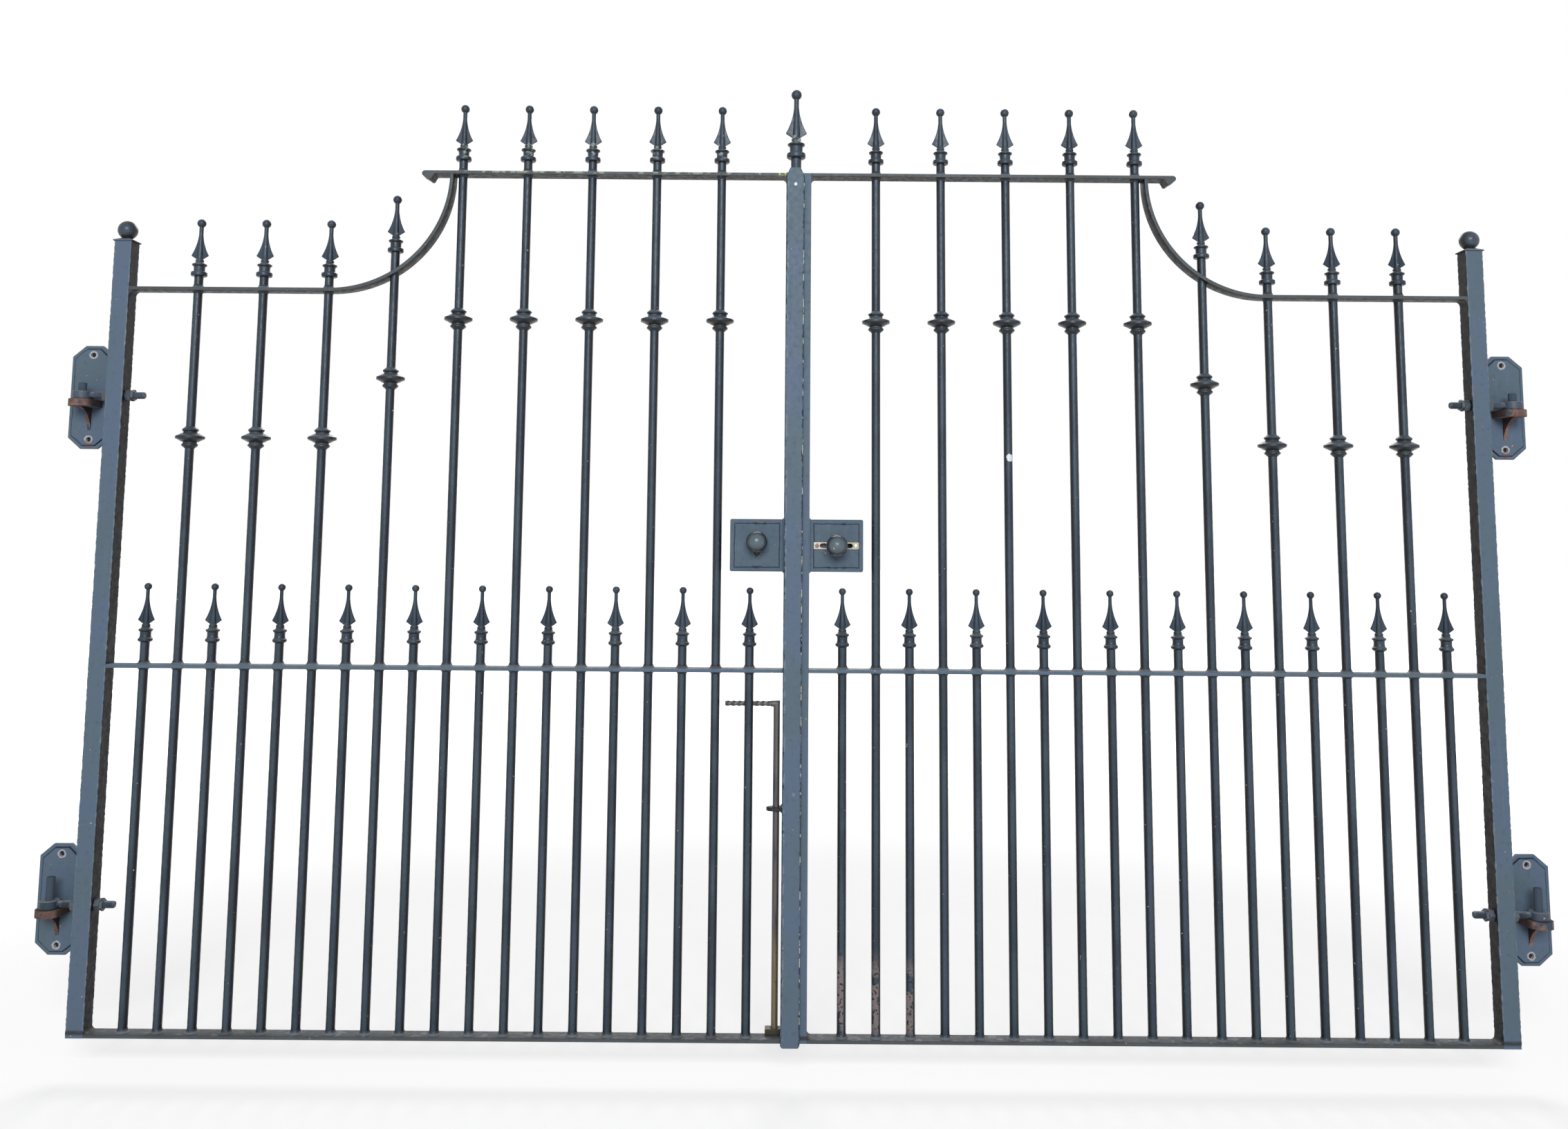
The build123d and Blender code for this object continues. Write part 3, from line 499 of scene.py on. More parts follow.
def rusted_steel(name, share, painted_above):
    """Rust over old paint: share is how much has gone, below the height where paint still holds."""
    material, tree, shader, place, facing = start_finish(name, 0.85, 0.2)
    cloud = noise(tree, place, 26.0, 4.0)
    grain = noise(tree, place, 240.0, 4.0)
    colour = tint(tree, mask(tree, cloud, 0.40, 0.62), rust_deep, rust_bright)
    colour = tint(tree, mask(tree, grain, 0.54, 0.70, 0.0, 0.6), colour, scale_black)
    remains = mask(tree, noise(tree, place, 34.0, 5.0), share - 0.03, share + 0.03)
    colour = tint(tree, remains, colour, slate_dark)
    # Painted shade: faces that turn sideways are darkened towards the scale's black.
    sideways = sums(tree, "ABSOLUTE", split_axes(tree, facing)[0])
    colour = tint(tree, mask(tree, sideways, 0.75, 0.95, 0.0, 0.75), colour, scale_black)
    height = split_axes(tree, place)[2]
    above = mask(tree, height, painted_above - pin_paint_gap, painted_above + pin_paint_gap)
    colour = tint(tree, above, colour, slate_dark)
    tree.links.new(colour, shader.inputs["Base Color"])
    bumps(tree, shader, grain, 0.0008)
    return material


def worn_steel(name, upper, lower, low_z, high_z):
    """Bare steel that shades from one colour at the foot to another higher up."""
    material, tree, shader, place, _ = start_finish(name, 0.45, 0.5, 0.35)
    height = split_axes(tree, place)[2]
    streak = noise(tree, stretch(tree, place, (160.0, 160.0, 14.0)), 1.0, 3.0)
    wavering = sums(tree, "ADD", height, mask(tree, streak, 0.3, 0.7, -0.08, 0.08))
    colour = tint(tree, mask(tree, wavering, low_z, high_z), lower, upper)
    colour = tint(tree, mask(tree, streak, 0.50, 0.72, 0.0, 0.7), colour, navy_dark)
    colour = tint(tree, speckles(tree, place, 130.0, 0.30, 0.18), colour, rust_stain)
    tree.links.new(colour, shader.inputs["Base Color"])
    bumps(tree, shader, streak, 0.0004)
    return material


def small_metal(name, colour, other, roughness, change_at=None):
    """Tarnished bare metal. It turns from the other colour to its own at change_at, if that is given."""
    material, tree, shader, place, _ = start_finish(name, roughness, 0.5, 0.5)
    tarnish = noise(tree, place, 260.0, 4.0)
    share = mask(tree, tarnish, 0.42, 0.60)
    if change_at is not None:
        before = mask(tree, split_axes(tree, place)[0], change_at - 0.008, change_at + 0.008, 0.75, 0.0)
        share = sums(tree, "MAXIMUM", sums(tree, "MULTIPLY", share, 0.45), before)
    mixed = tint(tree, share, colour, other)
    mixed = tint(tree, mask(tree, noise(tree, place, 120.0), 0.60, 0.68, 0.0, 0.8), mixed, rust_deep)
    tree.links.new(mixed, shader.inputs["Base Color"])
    bumps(tree, shader, tarnish, 0.0002)
    return material


rod_low, rod_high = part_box("drop_bolt")
guide_low, guide_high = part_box("latch_guide_strip")
lug_scale = worn_steel("lug_scale", scale_black, block_olive, rod_low.z + 0.05, rod_low.z + 0.30)
rod_steel = worn_steel("rod_steel", steel_brown, steel_tan, rod_low.z + 0.12, rod_low.z + 0.30)
brass = small_metal("brass", brass_dull, brass_pale, 0.5, (guide_low.x + guide_high.x) / 2)
cream_screw = small_metal("cream_screw", zinc, cream, 0.4)
rusty_screw = small_metal("rusty_screw", rust_bright, zinc, 0.6)
nut_zinc = small_metal("nut_zinc", rail_slate, slate_dark, 0.45)

# %% [markdown]
# Shapes come from three makers. A flat plate is a filled outline with rounded edges, turned or
# round things are a profile spun about an axis, and everything that repeats is grown by
# Geometry Nodes. Each maker returns a plain mesh, and the last helper puts it in the scene.

# %% Helpers for shapes
MM = 0.001
sharp_angle = math.radians(32)
upright = Matrix.Rotation(math.pi / 2, 4, "X")


def arc_points(radius, count, centre=(0.0, 0.0), start=0.0, turn=2 * math.pi):
    """Points round a circle, or along an arc of it when turn is less than a full circle."""
    steps = count if turn == 2 * math.pi else count - 1
    angles = [start + turn * number / steps for number in range(count)]
    return [(centre[0] + radius * math.cos(a), centre[1] + radius * math.sin(a)) for a in angles]


def plate(outlines, thickness, edge, place):
    """Flat plate from an outline and its holes, with edges rounded by edge, centred on place."""
    curve = bpy.data.curves.new("plate", "CURVE")
    curve.dimensions = "2D"
    curve.fill_mode = "BOTH"
    curve.extrude = thickness / 2 - edge
    curve.bevel_depth = edge
    curve.bevel_resolution = 0
    curve.offset = -edge
    for outline in outlines:
        spline = curve.splines.new("POLY")
        spline.points.add(len(outline) - 1)
        for point, (x, y) in zip(spline.points, outline):
            point.co = (x, y, 0, 1)
        spline.use_cyclic_u = True
    return as_mesh(bpy.data.objects.new("plate", curve), place)


def as_mesh(holder, place=Matrix.Identity(4)):
    """The plain mesh that a temporary object shows, moved to its place."""
    scene.collection.objects.link(holder)
    graph = bpy.context.evaluated_depsgraph_get()
    mesh = bpy.data.meshes.new_from_object(holder.evaluated_get(graph), depsgraph=graph)
    bpy.data.objects.remove(holder)
    mesh.transform(place)
    return mesh


def facing_front(x, y, z):
    """Place of a plate that faces the front: its local X, Y and Z run along X, Z and -Y."""
    return Matrix.Translation((x, y, z)) @ upright


def facing_side(x, y, z):
    """Place of a plate that faces sideways: its local X, Y and Z run along Y, Z and X."""
    return Matrix.Translation((x, y, z)) @ Matrix.Rotation(math.pi / 2, 4, "Z") @ upright


def turned(profile, sides, place, closed=False):
    """Round shape from (radius, height) points, spun about its own Z. A closed profile has a bore."""
    shape = bmesh.new()
    rings = []
    for radius, height in profile:
        count = sides if radius > 0 else 1
        rings.append([shape.verts.new((x, y, height)) for x, y in arc_points(radius, sides)[:count]])
    following = rings[1:] + rings[:1] if closed else rings[1:]
    for lower, upper in zip(rings, following):
        for side in range(sides):
            after = (side + 1) % sides
            corners = [lower[side % len(lower)], lower[after % len(lower)],
                       upper[after % len(upper)], upper[side % len(upper)]]
            shape.faces.new(list(dict.fromkeys(corners)))
    if not closed:
        for ring in (rings[0], rings[-1]):
            if len(ring) > 1:
                shape.faces.new(ring)
    return finished(shape, place)


def finished(shape, place=Matrix.Identity(4)):
    """Turns a bmesh into a mesh whose faces point outwards."""
    bmesh.ops.recalc_face_normals(shape, faces=shape.faces)
    mesh = bpy.data.meshes.new("shape")
    shape.to_mesh(mesh)
    shape.free()
    mesh.transform(place)
    return mesh


def ball_profile(radius, height, steps, start=-math.pi / 2):
    """Profile of a ball whose centre is at a height, from an angle up to its top."""
    arc = arc_points(radius, steps + 1, (0.0, height), start, math.pi / 2 - start)
    points = [(max(x, 0.0), z) for x, z in arc[:-1]] + [(0.0, height + radius)]
    if start == -math.pi / 2:
        points[0] = (0.0, height - radius)
    return points


def joined(meshes):
    shape = bmesh.new()
    for mesh in meshes:
        shape.from_mesh(mesh)
    mesh = bpy.data.meshes.new("joined")
    shape.to_mesh(mesh)
    shape.free()
    return mesh


def scaled(profile, factor=MM):
    return [(radius * factor, height * factor) for radius, height in profile]


def put(name, mesh, body, replaced=(), finish=None):
    """Makes the mesh a named piece that rides on a body and stands for some nodes."""
    if finish is not None:
        mesh.materials.clear()
        mesh.materials.append(finish)
    mesh.name = name
    mesh.shade_smooth()
    mesh.set_sharp_from_angle(angle=sharp_angle)
    piece = bpy.data.objects.new(name, mesh)
    scene.collection.objects.link(piece)
    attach(piece, body)
    if replaced:
        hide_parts(*replaced)
    triangles = sum(len(polygon.vertices) - 2 for polygon in mesh.polygons)
    print(name, triangles, "triangles")
    return piece


# %% Helpers for Geometry Nodes
number_input = "NodeSocketFloat"
object_input = "NodeSocketObject"
material_input = "NodeSocketMaterial"


def new_tree(name, inputs):
    """An empty tree with named inputs. Returns the tree, its input sockets and its output."""
    tree = bpy.data.node_groups.new(name, "GeometryNodeTree")
    tree.interface.new_socket("Geometry", in_out="INPUT", socket_type="NodeSocketGeometry")
    for label, kind in inputs:
        tree.interface.new_socket(label, in_out="INPUT", socket_type=kind)
    tree.interface.new_socket("Geometry", in_out="OUTPUT", socket_type="NodeSocketGeometry")
    given = tree.nodes.new("NodeGroupInput").outputs
    result = tree.nodes.new("NodeGroupOutput").inputs[0]
    return tree, given, result


def end_tree(tree, geometry, finish, result):
    real = add_node(tree, "GeometryNodeRealizeInstances", ((0, geometry),))
    coated = add_node(tree, "GeometryNodeSetMaterial", (("Geometry", real.outputs[0]), ("Material", finish)))
    tree.links.new(coated.outputs[0], result)


def attribute(tree, name, kind="FLOAT"):
    """Reads a value that each point of the base mesh carries."""
    node = add_node(tree, "GeometryNodeInputNamedAttribute", (("Name", name),), data_type=kind)
    return node.outputs["Attribute"]


def position_of(tree):
    return tree.nodes.new("GeometryNodeInputPosition").outputs[0]


def drift(tree, along, scale):
    """Noise along one value, which keeps a row of blows from being all alike."""
    node = add_node(tree, "ShaderNodeTexNoise", (("W", along), ("Scale", scale)), noise_dimensions="1D")
    return node.outputs["Fac"]


def shifted(tree, geometry, offset):
    """Moves every point of a shape by its own offset."""
    inputs = (("Geometry", geometry), ("Offset", offset))
    return add_node(tree, "GeometryNodeSetPosition", inputs).outputs[0]


def resampled(tree, path, step):
    """The same path, cut into steps of one length."""
    inputs = (("Curve", path), ("Length", step))
    return add_node(tree, "GeometryNodeResampleCurve", inputs, mode="LENGTH").outputs[0]


def circle_of(tree, sides, radius):
    inputs = (("Resolution", sides), ("Radius", radius))
    return add_node(tree, "GeometryNodeCurvePrimitiveCircle", inputs).outputs[0]


def swept_along(tree, path, profile):
    """Sweeps a profile along a path and closes its two ends."""
    inputs = (("Curve", path), ("Profile Curve", profile), ("Fill Caps", True))
    return add_node(tree, "GeometryNodeCurveToMesh", inputs).outputs[0]


def grow(tree, base, values):
    """Runs a tree on a base mesh with the given inputs, and returns the plain mesh it makes."""
    holder = bpy.data.objects.new("holder", base)
    modifier = holder.modifiers.new("nodes", "NODES")
    modifier.node_group = tree
    for item in tree.interface.items_tree:
        if item.in_out == "INPUT" and item.name in values:
            modifier[item.identifier] = values[item.name]
    return as_mesh(holder)


def carry(mesh, **values):
    """Gives each point of a mesh the named numbers."""
    for name, numbers in values.items():
        mesh.attributes.new(name, "FLOAT", "POINT").data.foreach_set("value", numbers)


def line_mesh(points, links=()):
    """A mesh of points, joined by the given edges."""
    mesh = bpy.data.meshes.new("lines")
    mesh.from_pydata(points, links, [])
    return mesh


def path_mesh(points, closed=False):
    """One line of edges through some points."""
    links = [(number, number + 1) for number in range(len(points) - 1)]
    if closed:
        links.append((len(points) - 1, 0))
    return line_mesh(points, links)


# %% [markdown]
# The two hanging stiles and the cover strip were hammered along their edges, so each edge runs
# in small scallops. A bevel would be too even. Instead a tall box is built in many rings, each
# corner point knows which way it may be pulled, and a tree pulls it by a scalloped wave. Points
# a little way in from each corner stay put, so that only the rim looks worn.

# %% Hammered edges
hammer_tree, given, result = new_tree("hammered_edges", (
    ("Pitch", number_input), ("Depth", number_input), ("Paint", material_input)))
height = split_axes(hammer_tree, position_of(hammer_tree))[2]
blows = sums(hammer_tree, "DIVIDE", height, given["Pitch"])
blows = sums(hammer_tree, "ADD", blows, attribute(hammer_tree, "phase"))
blows = sums(hammer_tree, "ADD", blows, sums(hammer_tree, "MULTIPLY", drift(hammer_tree, blows, 0.35), 3.0))
wave = sums(hammer_tree, "SINE", sums(hammer_tree, "MULTIPLY", blows, math.pi))
scallop = sums(hammer_tree, "ABSOLUTE", wave)
force = mask(hammer_tree, drift(hammer_tree, blows, 0.8), 0.30, 0.62, 0.25, 1.0)
pull = sums(hammer_tree, "MULTIPLY", sums(hammer_tree, "MULTIPLY", scallop, force), given["Depth"])
offset = arrows(hammer_tree, "SCALE", (0, attribute(hammer_tree, "pull", "FLOAT_VECTOR")), ("Scale", pull))
moved = shifted(hammer_tree, given["Geometry"], offset)
end_tree(hammer_tree, moved, given["Paint"], result)

scallop_pitch = 0.016
ring_step = 0.0025
corner_cut = 0.0010
corner_round = 0.3
rim_width = 0.0045
rim_share = 0.8
edge_phase = 0.37


def ringed_box(low, high, half_width, flat=1.0):
    """Tall box in rings. half_width gives its half width at a height, flat the pull on its thin sides."""
    centre_x = (low.x + high.x) / 2
    centre_y = (low.y + high.y) / 2
    half_depth = (high.y - low.y) / 2
    rim_depth = min(rim_width, half_depth * rim_share)
    count = round((high.z - low.z) / ring_step) + 1
    corners = (((1, -1), (1, 0), (0, 1)), ((1, 1), (0, 1), (-1, 0)),
               ((-1, 1), (-1, 0), (0, -1)), ((-1, -1), (0, -1), (1, 0)))
    vertices, pulls, phases, wears = [], [], [], []
    for number in range(count):
        z = low.z + (high.z - low.z) * number / (count - 1)
        half = half_width(z)
        for edge, (sign, coming, going) in enumerate(corners):
            corner = Vector((centre_x + sign[0] * half, centre_y + sign[1] * half_depth, z))
            back = Vector((-coming[0], -coming[1] * flat, 0))
            onward = Vector((going[0], going[1] * flat, 0))
            inner_back = Vector((-coming[0] * rim_width, -coming[1] * rim_depth, 0))
            inner_onward = Vector((going[0] * rim_width, going[1] * rim_depth, 0))
            still = Vector((0, 0, 0))
            ways = ((inner_back, still, 0.0), (back * corner_cut, back, 1.0),
                    ((back + onward) * corner_round * corner_cut, (back + onward) * corner_round, 1.0),
                    (onward * corner_cut, onward, 1.0), (inner_onward, still, 0.0))
            for shift, way, worn in ways:
                vertices.append(corner + shift)
                pulls.extend(way)
                phases.append(edge * edge_phase)
                wears.append(worn)
    size = len(vertices) // count
    faces = [tuple(reversed(range(size))), tuple(range((count - 1) * size, count * size))]
    for number in range(count - 1):
        start = number * size
        for side in range(size):
            after = (side + 1) % size
            faces.append((start + side, start + after, start + size + after, start + size + side))
    mesh = bpy.data.meshes.new("ringed_box")
    mesh.from_pydata(vertices, [], faces)
    mesh.attributes.new("pull", "FLOAT_VECTOR", "POINT").data.foreach_set("vector", pulls)
    carry(mesh, phase=phases, wear=wears)
    return mesh


# %% [markdown]
# Both hanging stiles are square tube, so they keep one width all the way up. The cover strip is a
# thin flat that narrows to its shoulders and has its corners knocked off at the foot, so its half
# width is a function of the height. It could be cut from a plate, but then its rim could not move.

# %% Hanging stiles and cover strip
stile_depth = 0.0024
strip_depth = 0.0030
strip_shoulder = 0.020
strip_shoulder_width = 0.009
strip_foot_cut = 0.004

stiles = {}
for leaf in leaves:
    low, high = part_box(f"{leaf}_hanging_stile")
    stiles[leaf] = (low, high)
    half = (high.x - low.x) / 2
    base = ringed_box(low, high, lambda z: half)
    mesh = grow(hammer_tree, base, {"Pitch": scallop_pitch, "Depth": stile_depth, "Paint": gate_paint})
    put(f"{leaf}_stile", mesh, f"{leaf}_leaf", [f"{leaf}_hanging_stile"])


def strip_half_width(z):
    """The strip narrows to its shoulders at the top and has its corners cut at the foot."""
    taper = max(0.0, (z - (strip_high.z - strip_shoulder)) / strip_shoulder)
    foot = max(0.0, (strip_low.z + strip_foot_cut - z) / strip_foot_cut)
    return (strip_high.x - strip_low.x) / 2 - strip_shoulder_width * taper - strip_foot_cut * foot


base = ringed_box(strip_low, strip_high, strip_half_width, flat=0.35)
mesh = grow(hammer_tree, base, {"Pitch": scallop_pitch, "Depth": strip_depth, "Paint": strip_paint})
put("hammered_cover_strip", mesh, "left_leaf", ["cover_strip"])

# %% [markdown]
# Most rails are flat bars that follow a path: straight, or straight and then swept up in a quarter
# circle. One tree sweeps a rounded rectangle along any path, where a bevelled curve would need a
# profile of its own for each. It can also twist the section, which makes the handle of the drop
# bolt.

# %% Flat bar along a path
flat_tree, given, result = new_tree("flat_bar", (
    ("Width", number_input), ("Thickness", number_input), ("Edge", number_input),
    ("Turns", number_input), ("Paint", material_input)))
path = add_node(flat_tree, "GeometryNodeMeshToCurve", ((0, given["Geometry"]),))
along = flat_tree.nodes.new("GeometryNodeSplineParameter").outputs["Factor"]
twist = sums(flat_tree, "MULTIPLY", sums(flat_tree, "MULTIPLY", along, given["Turns"]), 2 * math.pi)
twisted = add_node(flat_tree, "GeometryNodeSetCurveTilt", (("Curve", path.outputs[0]), ("Tilt", twist)))
section = add_node(flat_tree, "GeometryNodeCurvePrimitiveQuadrilateral",
                   (("Width", given["Width"]), ("Height", given["Thickness"])))
rounded = add_node(flat_tree, "GeometryNodeFilletCurve",
                   (("Curve", section.outputs[0]), ("Count", 2), ("Radius", given["Edge"])), mode="POLY")
swept = swept_along(flat_tree, twisted.outputs[0], rounded.outputs[0])
end_tree(flat_tree, swept, given["Paint"], result)

# %% [markdown]
# The high rail ends in a fishtail, a drooping bulb under a sharp corner, which no sweep gives. It
# is cut as a plate in that outline instead, with its thickness across the leaf. A small hollow web
# of weld fills the corner where a rail meets a stile.

# %% Rails
rail_edge = 0.0009
weld_radius = 0.010
sweep_steps = 40
middle_low, middle_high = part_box("left_middle_rail")
rail_width = middle_high.y - middle_low.y
rail_thickness = middle_high.z - middle_low.z
rail_y = (middle_low.y + middle_high.y) / 2
tail_corner = 0.007
tail_bulb = 0.0055
tail_bulb_in = 0.0185
tail_bulb_down = 0.0152
tail_throat = 0.028
tail_throat_down = 0.00912
tail_length = 0.029
web_inset = 0.003
web_edge = 0.0004


def reach(leaf, node):
    """X of a node's two ends, from the hinge side to the meeting side."""
    low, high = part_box(node)
    return (low.x, high.x) if leaf == "left" else (high.x, low.x)


def rail(points):
    values = {"Width": rail_width, "Thickness": rail_thickness, "Edge": rail_edge, "Turns": 0.0,
              "Paint": rail_paint}
    return grow(flat_tree, path_mesh(points), values)


def web(x, z, side, up):
    """Concave weld in a corner: side and up say which way its two legs run."""
    legs = arc_points(1.0, 9, (1.0, 1.0), math.pi, math.pi / 2)
    outline = [(0.0, 0.0)] + [(side * weld_radius * a, up * weld_radius * b) for a, b in reversed(legs)]
    return plate([outline], rail_width - web_inset, web_edge, facing_front(x, rail_y, z))


for leaf, side in runs.items():
    near, far = reach(leaf, f"{leaf}_middle_rail")
    body = f"{leaf}_leaf"
    middle_z = (middle_low.z + middle_high.z) / 2
    mesh = rail([(near, rail_y, middle_z), (far, rail_y, middle_z)])
    put(f"{leaf}_middle_flat", mesh, body, [f"{leaf}_middle_rail"], gate_paint)

    bottom_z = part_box(f"{leaf}_bottom_rail")[0].z + rail_thickness / 2
    bottom_top = bottom_z + rail_thickness / 2
    parts = [rail([(near, rail_y, bottom_z), (far, rail_y, bottom_z)]), web(near, bottom_top, side, 1)]
    if leaf == "right":
        parts.append(web(far, bottom_top, -side, 1))
    put(f"{leaf}_bottom_flat", joined(parts), body, [f"{leaf}_bottom_rail"], rail_paint)

    swept_low, swept_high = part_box(f"{leaf}_swept_rail")
    low_rail_under = swept_low.z + weld_radius
    low_rail_z = low_rail_under + rail_thickness / 2
    sweep_radius = swept_high.z - low_rail_z
    sweep_x = reach(leaf, f"{leaf}_swept_rail")[1] - side * rail_thickness / 2
    arc = arc_points(sweep_radius, sweep_steps, (0.0, swept_high.z), -math.pi / 2, math.pi / 2)
    curve_points = [(sweep_x - side * (sweep_radius - x), rail_y, z) for x, z in arc]
    parts = [rail([(near, rail_y, low_rail_z)] + curve_points), web(near, low_rail_under, side, -1)]
    put(f"{leaf}_swept_flat", joined(parts), body, [f"{leaf}_swept_rail"], rail_paint)

    tip, meeting = reach(leaf, f"{leaf}_high_rail")
    high_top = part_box(f"{leaf}_high_rail")[1].z
    corner = arc_points(tail_corner, 6, (tail_corner, -tail_corner), math.pi / 2, math.radians(120))
    bulb = arc_points(tail_bulb, 9, (tail_bulb_in, -tail_bulb_down), math.radians(210), math.radians(150))
    length = abs(meeting - tip)
    straight = [(tail_throat, -tail_throat_down), (tail_length, -rail_thickness),
                (length, -rail_thickness), (length, 0.0)]
    outline = [(tip + side * x, z) for x, z in corner + bulb + straight]
    high_flat = plate([outline], rail_width, rail_edge, facing_front(0.0, rail_y, high_top))
    parts = [high_flat, web(meeting, high_top - rail_thickness, -side, -1)]
    put(f"{leaf}_high_flat", joined(parts), body, [f"{leaf}_high_rail"], rail_paint)

# %% [markdown]
# A gate like this lives by its rows. Every bar was hammered on its four diagonals, so shallow
# dents flank the bright line down its middle. The tree sweeps a circle along each bar's axis and
# then pulls the surface inwards: a wave along the height makes the blows, a wave round the axis
# keeps them on the diagonals, and each bar carries its own phase so that no two agree.

# %% Bars
bar_sides = 20
bar_tree, given, result = new_tree("hammered_bars", (
    ("Radius", number_input), ("Ring Step", number_input), ("Pitch", number_input),
    ("Depth", number_input), ("Middle", number_input), ("Paint", material_input)))
axis = add_node(bar_tree, "GeometryNodeMeshToCurve", ((0, given["Geometry"]),))
rings = resampled(bar_tree, axis.outputs[0], given["Ring Step"])
swept = swept_along(bar_tree, rings, circle_of(bar_tree, bar_sides, given["Radius"]))
axes = split_axes(bar_tree, position_of(bar_tree))
out_x = sums(bar_tree, "SUBTRACT", axes[0], attribute(bar_tree, "across"))
out_y = sums(bar_tree, "SUBTRACT", axes[1], given["Middle"])
angle = sums(bar_tree, "ARCTAN2", out_y, out_x)
diagonal = sums(bar_tree, "SINE", sums(bar_tree, "MULTIPLY", angle, 2.0))
blow = sums(bar_tree, "ADD", sums(bar_tree, "DIVIDE", axes[2], given["Pitch"]), attribute(bar_tree, "phase"))
blow = sums(bar_tree, "ADD", blow, sums(bar_tree, "MULTIPLY", drift(bar_tree, blow, 0.45), 2.0))
force = mask(bar_tree, drift(bar_tree, blow, 0.9), 0.30, 0.65, 0.35, 1.0)
wave = sums(bar_tree, "SINE", sums(bar_tree, "MULTIPLY", blow, math.pi))
wave = sums(bar_tree, "MULTIPLY", sums(bar_tree, "POWER", wave, 2.0), force)
dent = sums(bar_tree, "MULTIPLY", wave, sums(bar_tree, "POWER", diagonal, 2.0))
inward = sums(bar_tree, "DIVIDE", sums(bar_tree, "MULTIPLY", dent, given["Depth"]), given["Radius"])
inward = sums(bar_tree, "MULTIPLY", inward, -1.0)
outward = add_node(bar_tree, "ShaderNodeCombineXYZ", ((0, out_x), (1, out_y))).outputs[0]
offset = arrows(bar_tree, "SCALE", (0, outward), ("Scale", inward))
end_tree(bar_tree, shifted(bar_tree, swept, offset), given["Paint"], result)

dog_low, dog_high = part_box("left_dog_bars")
bar_radius = (dog_high.y - dog_low.y) / 2
bar_ring_step = 0.005
blow_pitch = 0.021
blow_depth = 0.0006
bar_phase = 0.618


def axes_mesh(bars):
    """One upright edge for each bar, whose points carry the bar's place and its own phase."""
    points, links, places, phases = [], [], [], []
    for number, (x, foot, top) in enumerate(bars):
        points += [(x, rail_y, foot), (x, rail_y, top)]
        links.append((2 * number, 2 * number + 1))
        places += [x] * 2
        phases += [number * bar_phase] * 2
    mesh = line_mesh(points, links)
    carry(mesh, across=places, phase=phases)
    return mesh


rows = {}
for leaf in leaves:
    for row in ("tall", "dog"):
        node = f"{leaf}_{row}_bars"
        rows[leaf, row] = bars_of(node)
        values = {"Radius": bar_radius, "Ring Step": bar_ring_step, "Pitch": blow_pitch, "Depth": blow_depth,
                  "Middle": rail_y, "Paint": bar_paint}
        mesh = grow(bar_tree, axes_mesh(rows[leaf, row]), values)
        put(f"{leaf}_{row}_rods", mesh, f"{leaf}_leaf", [node])

# %% [markdown]
# Spear heads, knops and weld collars are all alike in their rows, so one of each is modelled and
# then grown on points. The tree puts a copy of any shape on each point of the base mesh.

# %% One shape on many points
repeat_tree, given, result = new_tree("repeat_shape", (
    ("Shape", object_input), ("Paint", material_input)))
shape_info = add_node(repeat_tree, "GeometryNodeObjectInfo",
                      (("Object", given["Shape"]), ("As Instance", True)))
turn = add_node(repeat_tree, "ShaderNodeCombineXYZ", ((2, attribute(repeat_tree, "turn")),))
copies = add_node(repeat_tree, "GeometryNodeInstanceOnPoints",
                  (("Points", given["Geometry"]), ("Instance", shape_info.outputs["Geometry"]),
                   ("Rotation", turn.outputs[0]), ("Scale", attribute(repeat_tree, "size"))))
end_tree(repeat_tree, copies.outputs[0], given["Paint"], result)


def repeat(shape, points, finish, turns=None, size=1.0):
    """Grows a mesh on each point, turned about Z and scaled if asked."""
    turns = turns or [0.0] * len(points)
    pattern = bpy.data.objects.new("pattern", shape)
    scene.collection.objects.link(pattern)
    base = line_mesh(points)
    carry(base, turn=turns, size=[size] * len(points))
    mesh = grow(repeat_tree, base, {"Shape": pattern, "Paint": finish})
    bpy.data.objects.remove(pattern)
    return mesh


# %% [markdown]
# The spear head is a casting in two ideas. A ringed socket, a small round foot and a slim rib
# are turned in one profile, and two flat wings with hollow edges stand out from the rib on
# either side. A ball closes the tip. The heads on the dog bars are the same, with less girth.

# %% Spear head
head_sides = 24
spear_foot = 40.0
shoulder = 50.0
neck_foot = 102.0
neck_top = 118.0
rib = 7.25
wing_thickness = 4.0
wing_bevel = 1.1
ball_sink = 1.5
wing_top = 112.0
rib_steps = 7
wing_steps = 16
tip_sides = 20
tall_girth = {"ring": 18.0, "rim": 5.0, "barrel": 12.5, "collar": 16.5, "wing": 20.0, "neck": 4.75,
              "ball": 10.0}
dog_girth = {"ring": 15.75, "rim": 3.4, "barrel": 12.0, "collar": 15.5, "wing": 18.75, "neck": 4.0,
             "ball": 8.25}


